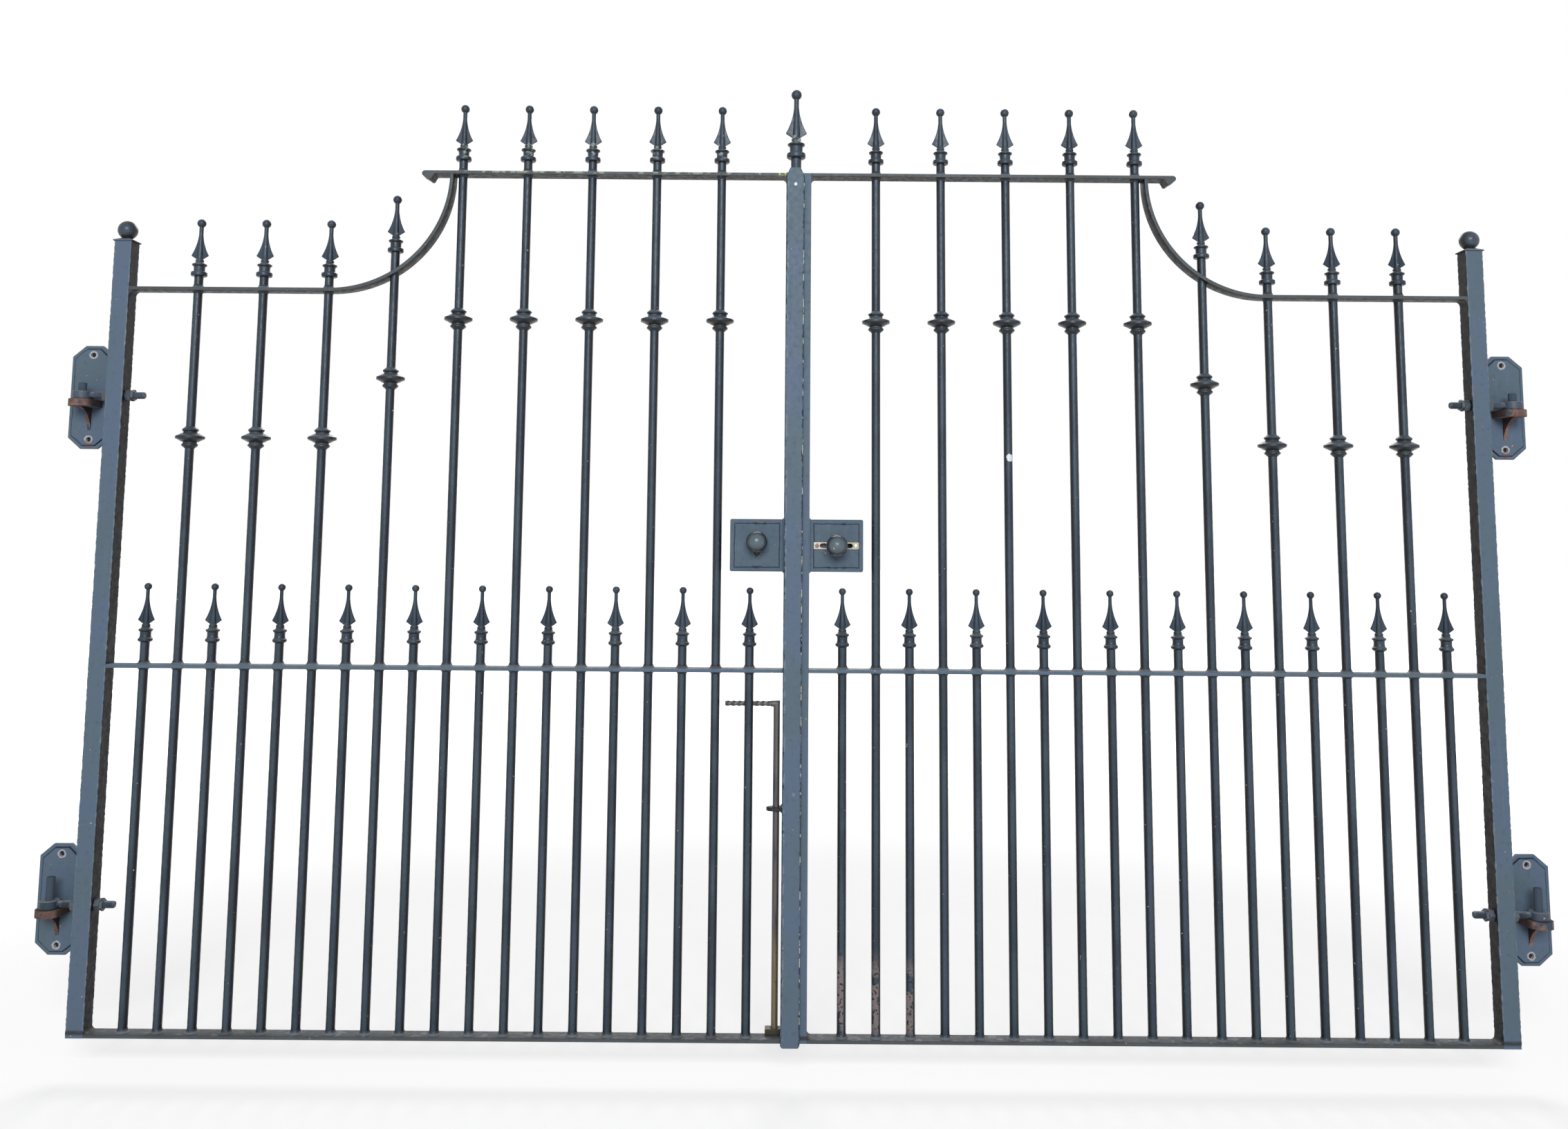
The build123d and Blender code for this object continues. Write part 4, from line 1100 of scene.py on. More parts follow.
def socket_and_rib(girth):
    """Profile in millimetres from the seat, over ring, barrel, collar and foot, up to the neck."""
    ring, rim, barrel, collar, neck = (girth[key] for key in ("ring", "rim", "barrel", "collar", "neck"))
    profile = [(0, 0), (10.0, 0), (11.0, 0.5), (ring - 1.6, 6.0 - rim), (ring - 0.3, 7.0 - rim)]
    profile += [(ring, 8.2 - rim), (ring, 3.8 + rim), (ring - 0.4, 5.0 + rim), (ring - 2.0, 6.0 + rim)]
    profile += [(barrel, 12.6), (barrel - 0.3, 18.0), (barrel, 23.4), (collar - 0.9, 25.8), (collar, 26.8)]
    profile += [(collar, 28.6), (collar - 0.8, 29.6), (barrel - 0.2, 30.8), (10.0, 32.6), (8.8, 34.6), (9.3, 35.6)]
    profile += [(9.3, 38.6), (8.5, spear_foot), (rib - 0.5, 42.0), (rib, shoulder)]
    for step in range(1, rib_steps + 1):
        left = 1 - step / rib_steps
        profile.append((neck + (rib - neck) * left**1.4, neck_foot - (neck_foot - shoulder) * left))
    return profile + [(neck, neck_top), (0, neck_top)]


def wing_outline(girth):
    """Both wings as one outline: out to the shoulder, then in along a hollow edge to the neck."""
    tip = girth["wing"]
    root = girth["neck"] - 0.4
    edge = [(5.0, spear_foot), (tip - 1.8, shoulder - 1.6), (tip - 0.3, shoulder - 0.4)]
    edge.append((tip - 0.2, shoulder + 1.2))
    for step in range(1, wing_steps + 1):
        left = 1 - step / wing_steps
        edge.append((root + (tip - 0.4 - root) * left**2.15, wing_top - (wing_top - shoulder - 1.2) * left))
    return edge + [(-x, z) for x, z in reversed(edge)]


def spear_head(girth):
    ball_height = neck_top + girth["ball"] - ball_sink
    turned_part = turned(scaled(socket_and_rib(girth)), head_sides, Matrix.Identity(4))
    wings = plate([scaled(wing_outline(girth))], wing_thickness * MM, wing_bevel * MM, upright)
    tip_ball = turned(scaled(ball_profile(girth["ball"], ball_height, 12)), tip_sides, Matrix.Identity(4))
    return joined([turned_part, wings, tip_ball])


heads = {"tall": spear_head(tall_girth), "dog": spear_head(dog_girth)}
for leaf in leaves:
    for row in ("tall", "dog"):
        seats = [(x, rail_y, top) for x, foot, top in rows[leaf, row]]
        mesh = repeat(heads[row], seats, head_paint)
        put(f"{leaf}_{row}_heads", mesh, f"{leaf}_leaf", [f"{leaf}_{row}_finials"])

# %% [markdown]
# Over the gap stands one more head, a fifth larger, on a short round post with weld at its foot.
# It is the same casting in a bigger size, so the tall head is grown once more with a scale.

# %% Centre spear head on its post
centre_scale = 1.22
post_radius = 12.0
post_height = 35.0
centre_low, centre_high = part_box("centre_finial")
centre_x = (centre_low.x + centre_high.x) / 2
centre_y = (centre_low.y + centre_high.y) / 2
post_profile = [(0.0, 0.0), (post_radius + 2.0, 0.0), (post_radius + 0.6, 3.0), (post_radius, 6.0),
                (post_radius, post_height), (0.0, post_height)]
post = turned(scaled(post_profile), 32, Matrix.Translation((centre_x, centre_y, centre_low.z)))
seat = (centre_x, centre_y, centre_low.z + post_height * MM)
head = repeat(heads["tall"], [seat], head_paint, size=centre_scale)
put("centre_spear", joined([post, head]), "left_leaf", ["centre_finial"], head_paint)

# %% [markdown]
# The knop is a slim sleeve with a sharp disc between two smaller rings. Its bevels are straight
# and crisp in the casting, so the profile has few points, with a hair of a flat on each rim.

# %% Knops
half_knop = [(10.0, 25.0), (11.2, 25.0), (12.0, 23.6), (15.0, 21.5), (18.0, 18.5), (18.0, 17.0),
             (17.2, 15.2), (15.0, 13.2), (15.0, 11.0), (19.5, 9.2), (25.0, 6.0), (31.2, 3.2), (32.0, 2.2)]
knop_profile = [(radius, -height) for radius, height in half_knop] + half_knop[::-1]
knop = turned(scaled(knop_profile), 32, Matrix.Identity(4))
for leaf in leaves:
    places = [(x, rail_y, (low_z + high_z) / 2) for x, low_z, high_z in bars_of(f"{leaf}_knops")]
    mesh = repeat(knop, places, head_paint)
    put(f"{leaf}_cast_knops", mesh, f"{leaf}_leaf", [f"{leaf}_knops"])

# %% [markdown]
# Welds are the signature of shop-made steelwork. Where a bar passes a rail it has a small dark
# collar of weld, larger above the rail than below it. A bevel between bar and rail would need
# them to be one mesh, so a turned ring is grown at every crossing instead, each one turned a
# little further so that no two catch the light alike.

# %% Weld collars
upper_profile = [(9.4, -0.3), (16.0, -0.3), (15.2, 0.8), (13.0, 2.6), (11.4, 5.0), (10.5, 8.0), (9.4, 8.0)]
lower_profile = [(9.4, 0.3), (14.5, 0.3), (13.0, -1.4), (11.2, -2.8), (10.4, -4.5), (9.4, -4.5)]
upper_collar = turned(scaled(upper_profile), 16, Matrix.Identity(4), closed=True)
lower_collar = turned(scaled(lower_profile), 16, Matrix.Identity(4), closed=True)
end_above_rail = 0.04
collar_turn = 0.7
for leaf in leaves:
    high_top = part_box(f"{leaf}_high_rail")[1].z
    low_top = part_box(f"{leaf}_swept_rail")[0].z + weld_radius + rail_thickness
    bottom_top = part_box(f"{leaf}_bottom_rail")[0].z + rail_thickness
    collars = []
    for x, foot, top in rows[leaf, "tall"] + rows[leaf, "dog"]:
        collars += [(x, rail_y, bottom_top), (x, rail_y, middle_high.z)]
        if top > high_top:
            collars.append((x, rail_y, high_top))
        elif low_top < top < low_top + end_above_rail:
            collars.append((x, rail_y, low_top))
    turns = [number * collar_turn for number in range(len(collars))]
    above = repeat(upper_collar, collars, weld_paint, turns)
    unders = [(x, y, z - rail_thickness) for x, y, z in collars if z > bottom_top]
    below = repeat(lower_collar, unders, weld_paint)
    mesh = joined([above, below])
    put(f"{leaf}_weld_collars", mesh, f"{leaf}_leaf", (), weld_paint)
    print(leaf, "has", len(collars), "weld collars")

# %% [markdown]
# Where two pieces meet in a corner a bead of weld runs along it: round the ends of the lock boxes,
# along the lug of the drop bolt and round the neck of the left knob. The bead is a path swept by a
# circle and then shaken by noise, so that it looks laid by hand.

# %% Weld beads
bead_sides = 10
bead_step = 0.0015
bead_tree, given, result = new_tree("weld_bead", (
    ("Radius", number_input), ("Unevenness", number_input), ("Paint", material_input)))
path = add_node(bead_tree, "GeometryNodeMeshToCurve", ((0, given["Geometry"]),))
fine = resampled(bead_tree, path.outputs[0], bead_step)
swept = swept_along(bead_tree, fine, circle_of(bead_tree, bead_sides, given["Radius"]))
ripple = add_node(bead_tree, "ShaderNodeTexNoise",
                  (("Vector", position_of(bead_tree)), ("Scale", 260.0), ("Detail", 2.0)))
centred = arrows(bead_tree, "SUBTRACT", (0, ripple.outputs["Color"]), (1, (0.5, 0.5, 0.5)))
shift = arrows(bead_tree, "SCALE", (0, centred), ("Scale", given["Unevenness"]))
end_tree(bead_tree, shifted(bead_tree, swept, shift), given["Paint"], result)


def bead(points, radius, finish, closed=False):
    values = {"Radius": radius, "Unevenness": radius * 0.9, "Paint": finish}
    return grow(bead_tree, path_mesh(points, closed), values)


lug_low, lug_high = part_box("drop_bolt_guides")
box_weld = 0.0028
lug_weld = 0.0032
bead_inset = 0.002
lug_thickness = 0.009
for leaf in leaves:
    low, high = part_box(f"{leaf}_lock_box")
    joint_x = high.x if leaf == "left" else low.x
    box_face = low.y + bead_inset
    corners = [(joint_x, high.y, high.z), (joint_x, box_face, high.z), (joint_x, box_face, low.z),
               (joint_x, high.y, low.z)]
    beads = [bead(corners, box_weld, gate_paint)]
    if leaf == "left":
        for z in (lug_high.z, lug_high.z - lug_thickness):
            lug_ends = [(lug_high.x, lug_low.y + bead_inset, z), (lug_high.x, lug_high.y - bead_inset, z)]
            beads.append(bead(lug_ends, lug_weld, gate_paint))
    put(f"{leaf}_weld_beads", joined(beads), f"{leaf}_leaf", (), gate_paint)

# %% [markdown]
# Each hanging stile is closed by a thin plate with a low crown and a ball on it. The plate
# overhangs like a lip, so it is a rounded plate with a four-sided crown set on it. The ball is
# true and smooth, and is spun from a profile, which puts no pole where it would show.

# %% Caps and balls of the hanging stiles
cap_plate = 0.003
cap_rise = 0.007
cap_crown = 0.014
ball_radius = 0.022
cap_ball_sink = 0.0035
cap_edge = 0.0007
crown_foot = 0.96
for leaf in leaves:
    low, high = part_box(f"{leaf}_stile_cap")
    centre_x = (low.x + high.x) / 2
    centre_y = (low.y + high.y) / 2
    half = (high.x - low.x) / 2
    square = [(-half, -half), (half, -half), (half, half), (-half, half)]
    lip_place = Matrix.Translation((centre_x, centre_y, low.z + cap_plate / 2))
    lip = plate([square], cap_plate, cap_edge, lip_place)
    crown = bmesh.new()
    foot = [crown.verts.new((x * crown_foot, y * crown_foot, 0)) for x, y in square]
    top = [crown.verts.new((x / half * cap_crown / 2, y / half * cap_crown / 2, cap_rise)) for x, y in square]
    for side in range(4):
        after = (side + 1) % 4
        crown.faces.new((foot[side], foot[after], top[after], top[side]))
    crown.faces.new(foot)
    crown.faces.new(top)
    crown = finished(crown, Matrix.Translation((centre_x, centre_y, low.z + cap_plate)))
    mesh = joined([lip, crown])
    put(f"{leaf}_cap_plate", mesh, f"{leaf}_leaf", [f"{leaf}_stile_cap"], gate_paint)
    seat = Matrix.Translation((centre_x, centre_y, low.z + cap_plate + cap_rise))
    mesh = turned(ball_profile(ball_radius, ball_radius - cap_ball_sink, 24), 48, seat)
    put(f"{leaf}_cap_ball", mesh, f"{leaf}_leaf", [f"{leaf}_stile_cap"], ball_paint)

# %% [markdown]
# The knobs are balls on short necks. The right one slides with the latch, and its stem reaches
# through the slot to the latch bar. The left one is only a pull, and someone has bent it upwards,
# so its neck leans and its weld shows.

# %% Knobs
knob_radius = 24.0
knob_neck = 8.0
knob_neck_length = 14.0
knob_sink = 1.7
left_knob_lean = math.radians(50)
left_knob_drop = 0.016
left_stem_length = 6.0
left_knob_weld = 0.0022
latch_stem_radius = 4.0
latch_gap = 0.001


def knob(stem_radius, stem_length, place):
    """Ball, neck and stem in one skin. The neck's foot is at the place, and the ball above it."""
    centre = knob_neck_length + knob_radius - knob_sink
    start = -math.acos((knob_neck + 0.8) / knob_radius)
    profile = [(0, -stem_length), (stem_radius, -stem_length), (stem_radius, 0), (knob_neck, 0),
               (knob_neck, knob_neck_length - 2.0), (knob_neck + 0.2, knob_neck_length - 0.9)]
    profile += ball_profile(knob_radius, centre, 22, start)
    return turned(scaled(profile), 48, place)


left_box_low, left_box_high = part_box("left_lock_box")
foot_x = (left_box_low.x + left_box_high.x) / 2
foot_z = (left_box_low.z + left_box_high.z) / 2 - left_knob_drop
foot = Vector((foot_x, left_box_low.y, foot_z))
leaning = Matrix.Translation(foot) @ Matrix.Rotation(left_knob_lean, 4, "X")
stretch_down = 1 / math.sin(left_knob_lean)
loop = [(foot.x + x, foot.y, foot.z + z * stretch_down) for x, z in arc_points(knob_neck * MM, 24)]
left_ball = knob(knob_neck, left_stem_length, leaning)
mesh = joined([left_ball, bead(loop, left_knob_weld, knob_paint, closed=True)])
put("left_pull_knob", mesh, "left_leaf", ["left_knob"], knob_paint)

latch_low, latch_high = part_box("latch_knob")
latch_x = (latch_low.x + latch_high.x) / 2
latch_z = (latch_low.z + latch_high.z) / 2
latch_seat = Vector((latch_x, guide_low.y - latch_gap, latch_z))
stem_length = (latch_high.y - latch_seat.y) / MM
upright_knob = Matrix.Translation(latch_seat) @ upright
mesh = knob(latch_stem_radius, stem_length, upright_knob)
put("latch_pull_knob", mesh, "latch", ["latch_knob"], knob_paint)

# %% [markdown]
# The latch bar slides inside its box, so it hardly shows. It is a plain bar with broken edges, and
# its tail stops a hair short of the end of its channel, which is where the latch's travel ends.

# %% Latch bar
bar_low, bar_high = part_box("latch_bar")
tail_gap = 0.0006
bar_edge = 0.0008
tail_x = bar_high.x - tail_gap
bar_outline = [(bar_low.x, bar_low.z), (tail_x, bar_low.z), (tail_x, bar_high.z), (bar_low.x, bar_high.z)]
bar_middle = (bar_low.y + bar_high.y) / 2
mesh = plate([bar_outline], bar_high.y - bar_low.y, bar_edge, facing_front(0.0, bar_middle, 0.0))
put("sliding_latch_bar", mesh, "latch", ["latch_bar"], rod_steel)

# %% [markdown]
# The two screws of the latch guide have slotted domed heads. A slot is a real cut, so a thin
# block is taken out of the dome with a Boolean modifier, and the result is kept as a plain mesh.
# The left screw is rusty and the right one is bright.

# %% Slotted screws
screw_radius = 5.0
screw_rise = 3.0
slot_width = 1.0
slot_depth = 1.1
screw_slots = (math.radians(35), math.radians(80))
cutter_length = 14.0
screw_profile = [(0, 0), (screw_radius, 0), (screw_radius, 1.3), (4.6, 2.1), (3.6, 2.7), (2.0, 2.95),
                 (0, screw_rise)]


def block(width, depth, height, place):
    """A plain block, used only as a cutter."""
    shape = bmesh.new()
    bmesh.ops.create_cube(shape, size=1.0)
    shape.transform(Matrix.Diagonal((width, depth, height, 1.0)))
    return finished(shape, place)


def cut(mesh, cutter):
    """Takes one mesh out of another."""
    holder = bpy.data.objects.new("holder", mesh)
    tool = bpy.data.objects.new("tool", cutter)
    scene.collection.objects.link(tool)
    modifier = holder.modifiers.new("cut", "BOOLEAN")
    modifier.operation = "DIFFERENCE"
    modifier.solver = "EXACT"
    modifier.object = tool
    result = as_mesh(holder)
    bpy.data.objects.remove(tool)
    return result


screws = []
for (x, low_z, high_z), slot_turn in zip(bars_of("latch_screws"), screw_slots):
    dome = turned(scaled(screw_profile), 28, Matrix.Identity(4))
    turned_slot = Matrix.Rotation(slot_turn, 4, "Z") @ Matrix.Translation((0, 0, screw_rise * MM))
    cutter = block(cutter_length * MM, slot_width * MM, 2 * slot_depth * MM, turned_slot)
    screw = cut(dome, cutter)
    screw.transform(facing_front(x, guide_low.y, (low_z + high_z) / 2))
    screws.append(screw)
put("rusty_guide_screw", screws[0], "right_leaf", ["latch_screws"], rusty_screw)
put("bright_guide_screw", screws[1], "right_leaf", ["latch_screws"], cream_screw)

# %% [markdown]
# The drop bolt is one rod with a mitred elbow, and its handle is a square bar twisted cold, so
# light and dark stripes wind round it. The rod and elbow are one skin of rings. The handle comes
# from the flat bar tree, with a square section and two full turns of twist.

# %% Drop bolt
rod_radius = 0.0075
rod_chamfer = 0.002
arm_radius = 0.0064
arm_start = 0.014
handle_side = 0.0094
handle_edge = 0.0015
handle_turns = 2.0
rod_x = rod_high.x - rod_radius
rod_y = (rod_low.y + rod_high.y) / 2
elbow_z = rod_high.z - rod_radius

rod = bmesh.new()
rod_rings = []
for spoke_x, spoke_y in arc_points(1.0, 28):
    column = [(rod_radius - rod_chamfer, rod_low.z), (rod_radius, rod_low.z + rod_chamfer)]
    column = [(rod_x + radius * spoke_x, rod_y + radius * spoke_y, z) for radius, z in column]
    mitre = (rod_x + rod_radius * spoke_x, rod_y + rod_radius * spoke_y, elbow_z + rod_radius * spoke_x)
    arm = (rod_x - arm_start, rod_y + arm_radius * spoke_y, elbow_z + arm_radius * spoke_x)
    rod_rings.append([rod.verts.new(point) for point in (*column, mitre, arm)])
for column, following in zip(rod_rings, rod_rings[1:] + rod_rings[:1]):
    for level in range(3):
        rod.faces.new((column[level], following[level], following[level + 1], column[level + 1]))
rod.faces.new([column[0] for column in rod_rings])
rod.faces.new([column[-1] for column in rod_rings])

handle_steps = 60
handle_inset = 0.003
handle_start = rod_x - arm_start + handle_inset
handle_length = handle_start - rod_low.x
handle_path = [(handle_start - handle_length * step / handle_steps, rod_y, elbow_z)
               for step in range(handle_steps + 1)]
values = {"Width": handle_side, "Thickness": handle_side, "Edge": handle_edge, "Turns": handle_turns,
          "Paint": rod_steel}
handle = grow(flat_tree, path_mesh(handle_path), values)
put("drop_rod", joined([finished(rod), handle]), "drop_bolt", ["drop_bolt"], rod_steel)

# %% [markdown]
# The rod is guided by a lug on the meeting stile and a block on the bottom rail. The lug is a
# plate cut like a leaf, with its point towards the bars, so its outline is one curve mirrored.

# %% Guides of the drop bolt
guide_hole = 0.0085
lug_edge = 0.0015
block_edge = 0.0012
lug_half = lug_high.x - rod_x
lug_tip = 0.022
block_height = 0.012
block_tail = 0.021
leaf_steps = 14
lower_edge = [(lug_half, -lug_half)]
for step in range(leaf_steps + 1):
    share = step / leaf_steps
    lower_edge.append((-lug_tip * share, -lug_half * math.sqrt(max(0.0, 1 - share**1.7))))
lug_outline = lower_edge + [(x, -y) for x, y in reversed(lower_edge[:-1])]
lug_place = Matrix.Translation((rod_x, rod_y, lug_high.z - lug_thickness / 2))
hole = arc_points(guide_hole, 28)
lug = plate([lug_outline, hole], lug_thickness, lug_edge, lug_place)
block_outline = [(-block_tail, -lug_half), (lug_half, -lug_half), (lug_half, lug_half),
                 (-block_tail, lug_half)]
block_place = Matrix.Translation((rod_x, rod_y, lug_low.z + block_height / 2))
guide_block = plate([block_outline, hole], block_height, block_edge, block_place)
put("drop_guides", joined([lug, guide_block]), "left_leaf", ["drop_bolt_guides"], lug_scale)

# %% [markdown]
# A hinge eye is a thick ring on a threaded bolt. The bolt passes the stile and is held by a nut
# on each side, so the leaf can be plumbed. The thread is drawn as ridges in the turned profile,
# which reads the same as a helix at this size, and the nuts are six-sided plates with a bore.

# %% Hinge eyes, bolts and nuts
eye_radius = 21.0
eye_bore = 9.1
eye_half = 9.0
eye_chamfer = 1.2
bolt_radius = 8.0
bolt_start = 17.0
thread_pitch = 2.0
thread_depth = 0.8
thread_from = 30.0
nut_thickness = 0.013
nut_flats = 0.024
lock_nut_thickness = 0.007
lock_nut_turn = math.radians(22)
nut_edge = 0.0009
eye_flat = eye_radius - eye_chamfer
eye_profile = [(eye_bore, -eye_half), (eye_flat, -eye_half), (eye_radius, eye_chamfer - eye_half),
               (eye_radius, eye_half - eye_chamfer), (eye_flat, eye_half), (eye_bore, eye_half)]


def bolt_profile(length):
    """Profile in millimetres along the bolt, with a ridge for each turn of the thread."""
    profile = [(0, bolt_start), (bolt_radius, bolt_start), (bolt_radius, thread_from)]
    ridges = int((length - thread_from) / thread_pitch) - 1
    for ridge in range(ridges):
        profile.append((bolt_radius - thread_depth, thread_from + thread_pitch * (ridge + 0.5)))
        profile.append((bolt_radius, thread_from + thread_pitch * (ridge + 1)))
    return profile + [(bolt_radius - 1.5, length), (0, length)]


eye_ring = turned(scaled(eye_profile), 40, Matrix.Identity(4), closed=True)
hexagon = arc_points(nut_flats / math.sqrt(3), 6)
turned_hexagon = arc_points(nut_flats / math.sqrt(3), 6, start=lock_nut_turn)
nut_bore = arc_points(bolt_radius * MM, 24)
for leaf, hand in runs.items():
    eyes_low, eyes_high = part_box(f"{leaf}_hinge_eyes")
    lower_low, lower_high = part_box(f"lower_{leaf}_hinge_plate")
    upper_low, upper_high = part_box(f"upper_{leaf}_hinge_plate")
    pin_x = (lower_low.x + lower_high.x) / 2
    bolt_end = eyes_high.x if leaf == "left" else eyes_low.x
    bolt_length = abs(bolt_end - pin_x) / MM
    stile_low, stile_high = stiles[leaf]
    outer_face, inner_face = (stile_low.x, stile_high.x) if leaf == "left" else (stile_high.x, stile_low.x)
    eyes, nuts = [], []
    for z in ((lower_low.z + lower_high.z) / 2, (upper_low.z + upper_high.z) / 2):
        centre = Matrix.Translation((pin_x, rail_y, z))
        ring = eye_ring.copy()
        ring.transform(centre)
        sideways = centre @ Matrix.Rotation(hand * math.pi / 2, 4, "Y")
        eyes += [ring, turned(scaled(bolt_profile(bolt_length)), 24, sideways)]
        for nut_x in (outer_face - hand * nut_thickness / 2, inner_face + hand * nut_thickness / 2):
            nuts.append(plate([hexagon, nut_bore], nut_thickness, nut_edge, facing_side(nut_x, rail_y, z)))
        lock_x = inner_face + hand * (nut_thickness + lock_nut_thickness / 2)
        lock_place = facing_side(lock_x, rail_y, z)
        nuts.append(plate([turned_hexagon, nut_bore], lock_nut_thickness, nut_edge, lock_place))
    body = f"{leaf}_leaf"
    put(f"{leaf}_eye_bolts", joined(eyes), body, [f"{leaf}_hinge_eyes"], hinge_paint)
    put(f"{leaf}_bolt_nuts", joined(nuts), body, [f"{leaf}_hinge_nuts"], nut_zinc)

# %% [markdown]
# The wall plates are eight-sided, with a thinner raised panel of the same form, and a bolt hole at
# each end. The holes are empty, and a dark rough plug at the back of each stands in for the shade
# inside it: painted shade. A dark line follows the panel's edge, dirt with painted shade in the
# crease. Every plate gets a paint of its own, because that line, the pale rims of the holes and the
# rust stains are placed by the plate's own middle.

# %% Wall plates
groove_width = 0.0028
plate_margin = 0.008
plate_cut = (0.030, 0.026)
panel_cut = (0.027, 0.0235)
panel_rise = 0.003
hole_spacing = 0.198
hole_steps = (-0.5, 0.5)
hole_radius = 0.0055
hole_rim_reach = 0.0022
hole_rim_width = 0.0036
stain_drop = 0.012
stain_radius = 0.011
plate_edge = 0.0012
panel_edge = 0.0008
panel_sink = 0.0004
plug_radius = hole_radius / MM + 0.3
plug_inset = 0.001
plug_profile = [(0, 0), (plug_radius, 0), (plug_radius, 2.4), (3.0, 3.4), (0, 2.8)]


def centre_of(node):
    """Middle of a node's box, and its half sizes across and upwards."""
    low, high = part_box(node)
    return (low + high) / 2, (high.x - low.x) / 2, (high.z - low.z) / 2


def eight_sided(half_x, half_z, cut):
    """Outline of a rectangle with its corners cut off."""
    quarter = [(half_x, half_z - cut[1]), (half_x - cut[0], half_z)]
    mirrored = [(-x, z) for x, z in reversed(quarter)]
    upper = quarter + mirrored
    return upper + [(-x, -z) for x, z in upper]


plugs = []
for leaf in leaves:
    for height in ("lower", "upper"):
        node = f"{height}_{leaf}_hinge_plate"
        low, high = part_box(node)
        centre, half_x, half_z = centre_of(node)
        panel_half_x = half_x - plate_margin
        panel_half_z = half_z - plate_margin
        marks = [(outline_mask, (centre, panel_half_x, panel_half_z, *panel_cut, groove_width), seam_dirt_and_shade, 1.0)]
        for step in hole_steps:
            hole = Vector((centre.x, low.y, centre.z + step * hole_spacing))
            marks.append((ring_mask, (hole, hole_radius + hole_rim_reach, hole_rim_width), pale_rim, 0.9))
        stain = Vector((centre.x, low.y, centre.z + hole_steps[0] * hole_spacing - stain_drop))
        if height == "upper":
            marks.append((spot_mask, (stain, stain_radius), rust_stain, 0.45))
        paint_name = f"{height}_{leaf}_plate_paint"
        finish = painted_steel(paint_name, slate, slate_green, slate_dark, 0.12, marks=marks)
        holes = [arc_points(hole_radius, 24, (0.0, step * hole_spacing)) for step in hole_steps]
        back_thickness = high.y - low.y - panel_rise
        back = plate([eight_sided(half_x, half_z, plate_cut), *holes], back_thickness, plate_edge,
                     facing_front(centre.x, high.y - back_thickness / 2, centre.z))
        panel_place = facing_front(centre.x, low.y + (panel_rise + panel_sink) / 2, centre.z)
        panel_outline = eight_sided(panel_half_x, panel_half_z, panel_cut)
        panel = plate([panel_outline, *holes], panel_rise + panel_sink, panel_edge, panel_place)
        mesh = joined([back, panel])
        put(f"{height}_{leaf}_wall_plate", mesh, "wall_brackets", [node], finish)
        for step in hole_steps:
            plug_place = facing_front(centre.x, high.y - plug_inset, centre.z + step * hole_spacing)
            plugs.append(turned(scaled(plug_profile), 16, plug_place))
# Painted shade: the dark plugs stand in for the shade inside the empty holes.
put("hole_dirt", joined(plugs), "wall_brackets", (), lug_scale)

# %% [markdown]
# The lock boxes are sheet steel with a raised panel. Their paint is darker than the leaf's, and a
# dark line wavers round the panel, dirt with painted shade in the seam, with a longer dark blot in
# its upper and lower run.
# Like the wall plates, each box gets a paint of its own, placed by the box's own middle.

# %% Paint of the lock boxes
box_slate = (0.082, 0.120, 0.165)
box_margin = 0.010
box_line = 0.0022
box_blot = 0.0042
blot_share = 0.35
panel_paint = {}
for leaf in leaves:
    centre, half_x, half_z = centre_of(f"{leaf}_lock_box")
    line = (outline_mask, (centre, half_x - box_margin, half_z - box_margin, 0.0, 0.0, box_line), seam_dirt_and_shade, 1.0)
    marks = [line]
    blot_half = half_x * blot_share
    across = (centre.x - blot_half, centre.x + blot_half)
    for step in (-1, 1):
        blot_z = centre.z + step * (half_z - box_margin)
        upward = (blot_z - box_blot / 2, blot_z + box_blot / 2)
        marks.append(growth(across, upward, 0.5, 60.0, old_coat_and_shade, 0.9))
    panel_paint[f"{leaf}_lock_box"] = painted_steel(
        f"{leaf}_box_paint", box_slate, slate_green, slate_dark, 0.12, stile_side_shade, marks=marks)

# %% [markdown]
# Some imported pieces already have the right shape: the brackets, the lock boxes, the meeting
# stiles and the latch guide. They could be modelled again, but they only need softer edges, so
# they keep their meshes and get two modifiers: one merges the loose triangles, and one breaks the
# sharp edges, because no real edge is perfectly sharp.

# %% Nodes that keep their own shape
edge_break = 0.0008
merge_distance = 0.00005
sharp_from = math.radians(35)
shelf_below_eye = 0.0095
rust_shares = {"upper_left": 0.56, "upper_right": 0.66, "lower_left": 0.58, "lower_right": 0.52}
kept = dict(panel_paint)
kept.update({"left_meeting_stile": gate_paint, "right_meeting_stile": gate_paint,
             "latch_guide_strip": brass})
for place, share in rust_shares.items():
    shelf_top = centre_of(f"{place}_hinge_plate")[0].z - shelf_below_eye
    kept[f"{place}_hinge_bracket"] = rusted_steel(f"{place}_rust", share, shelf_top)
for name, finish in kept.items():
    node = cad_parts[name]
    node.data.materials.clear()
    node.data.materials.append(finish)
    merge = node.modifiers.new("merge", "WELD")
    merge.merge_threshold = merge_distance
    broken = node.modifiers.new("broken_edges", "BEVEL")
    broken.width = edge_break
    broken.segments = 2
    broken.limit_method = "ANGLE"
    broken.angle_limit = sharp_from
    broken.use_clamp_overlap = True
print(len(kept), "packed nodes keep their shape")

# %% [markdown]
# The floor is pale and the background white. Both are plain to the camera: the floor glows a
# little where the camera sees it, and more with distance, so that it melts into the background
# and still keeps the shadow at the gate's foot. A broad softbox in front and above does most of
# the work, and a weaker one behind lifts the tops and the back.

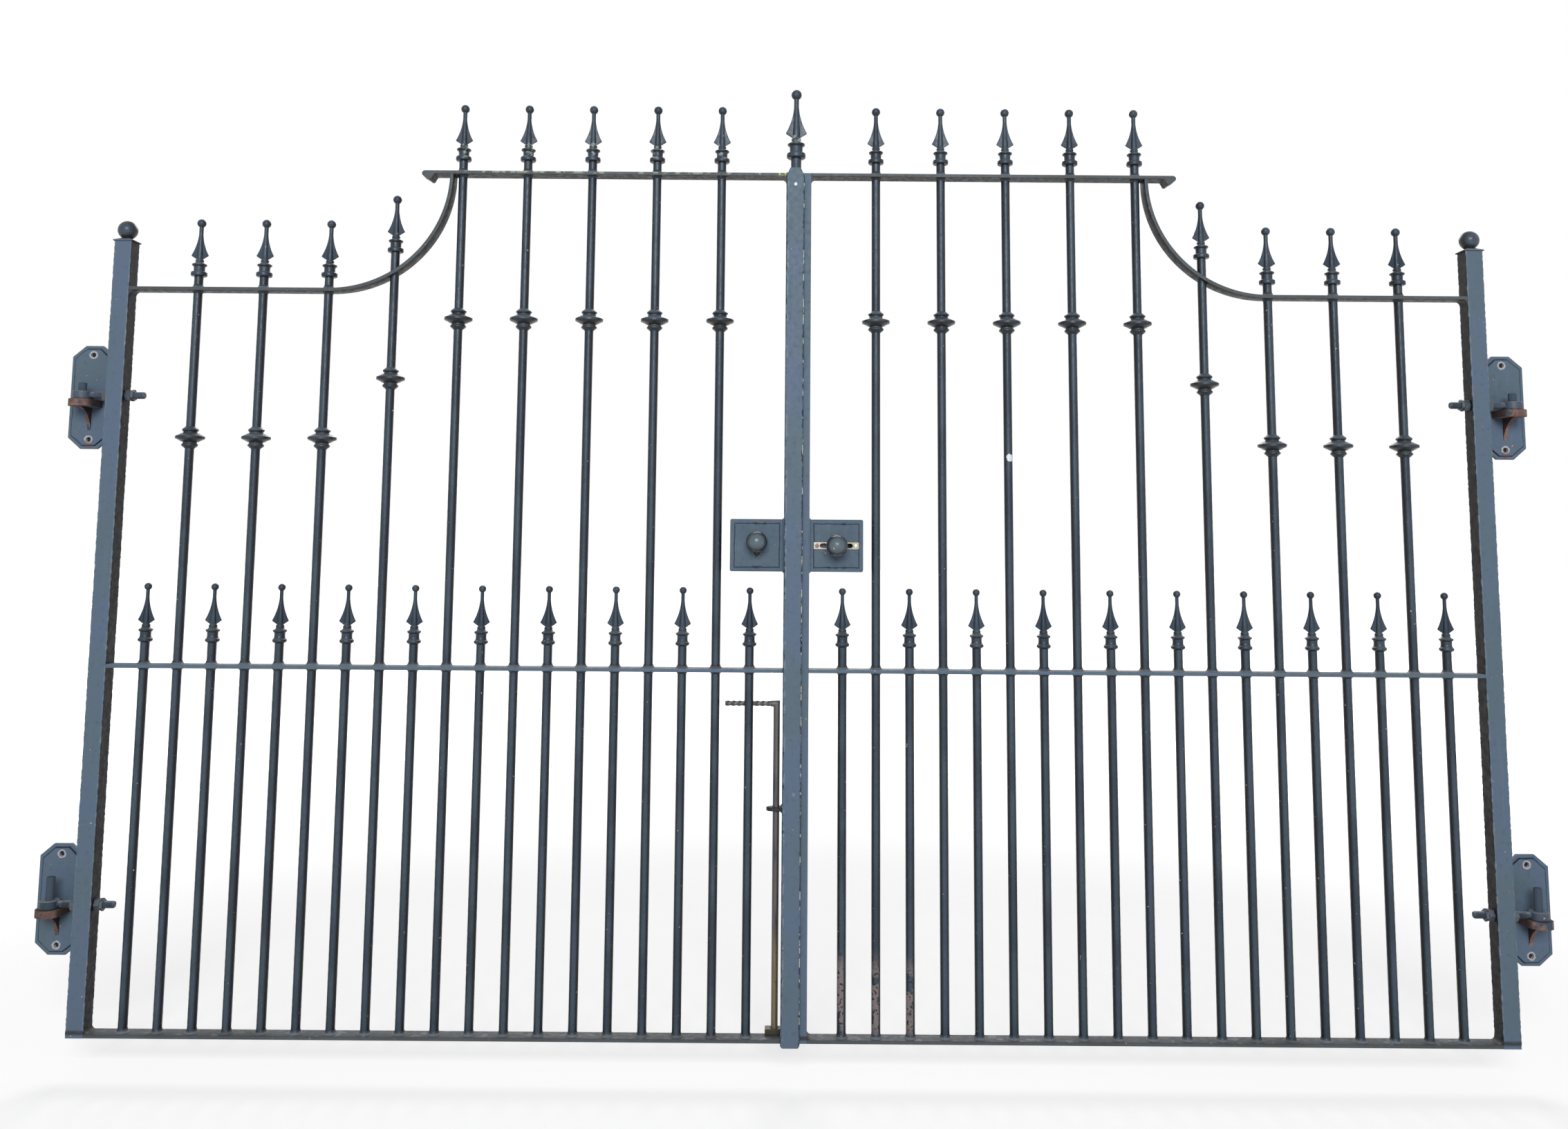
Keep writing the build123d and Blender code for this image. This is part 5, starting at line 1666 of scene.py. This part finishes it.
# %% Light, floor and background
floor_drop = 0.075
floor_z = cad_low.z - floor_drop
floor_half = 60.0
floor_corners = [(-floor_half, -floor_half), (floor_half, -floor_half), (floor_half, floor_half),
                 (-floor_half, floor_half)]
floor_mesh = bpy.data.meshes.new("floor")
floor_mesh.from_pydata([(x, y, floor_z) for x, y in floor_corners], [], [(0, 1, 2, 3)])
floor = bpy.data.objects.new("floor", floor_mesh)
scene.collection.objects.link(floor)
middle = (cad_low + cad_high) / 2


def seen_directly(tree):
    """One for camera, mirror and glass rays, and nothing for the light that falls on the gate."""
    rays = add_node(tree, "ShaderNodeLightPath").outputs
    mirrored = sums(tree, "MAXIMUM", rays["Is Glossy Ray"], rays["Is Transmission Ray"])
    return sums(tree, "MAXIMUM", rays["Is Camera Ray"], mirrored)


glow_near = 1.8
glow_far = 5.5
least_glow = 0.44
floor_finish, tree, shader, place, _ = start_finish("floor", 0.9, 0.1)
shader.inputs["Base Color"].default_value = (0.80, 0.80, 0.80, 1.0)
shader.inputs["Emission Color"].default_value = (1.0, 1.0, 1.0, 1.0)
distance = arrows(tree, "DISTANCE", (0, place), (1, (middle.x, middle.y, floor_z)))
glow = mask(tree, distance, glow_near, glow_far, least_glow, 1.0)
tree.links.new(sums(tree, "MULTIPLY", seen_directly(tree), glow), shader.inputs["Emission Strength"])
floor_mesh.materials.append(floor_finish)


softbox_width = 4.4
softbox_height = 3.2
front_power = 470.0
back_power = 200.0


def softbox(name, place, aim, power):
    """A broad area light that looks at a point."""
    light = bpy.data.lights.new(name, "AREA")
    light.shape = "RECTANGLE"
    light.size = softbox_width
    light.size_y = softbox_height
    light.energy = power
    holder = bpy.data.objects.new(name, light)
    holder.location = place
    holder.rotation_euler = (Vector(aim) - Vector(place)).to_track_quat("-Z", "Y").to_euler()
    scene.collection.objects.link(holder)
    print(name, "at", [round(value, 2) for value in place], power, "watts")


softbox("front_softbox", (middle.x, -7.5, 3.6), middle, front_power)
softbox("back_softbox", (middle.x, 6.5, 5.5), middle, back_power)

fill = 0.24
world = bpy.data.worlds.new("world")
scene.world = world
world.use_nodes = True
tree = world.node_tree
tree.nodes.clear()
strength = mask(tree, seen_directly(tree), 0.0, 1.0, fill, 1.0)
background = add_node(tree, "ShaderNodeBackground",
                      (("Color", (1.0, 1.0, 1.0, 1.0)), ("Strength", strength)))
world_output = tree.nodes.new("ShaderNodeOutputWorld")
tree.links.new(background.outputs[0], world_output.inputs["Surface"])
scene.view_settings.view_transform = "Standard"
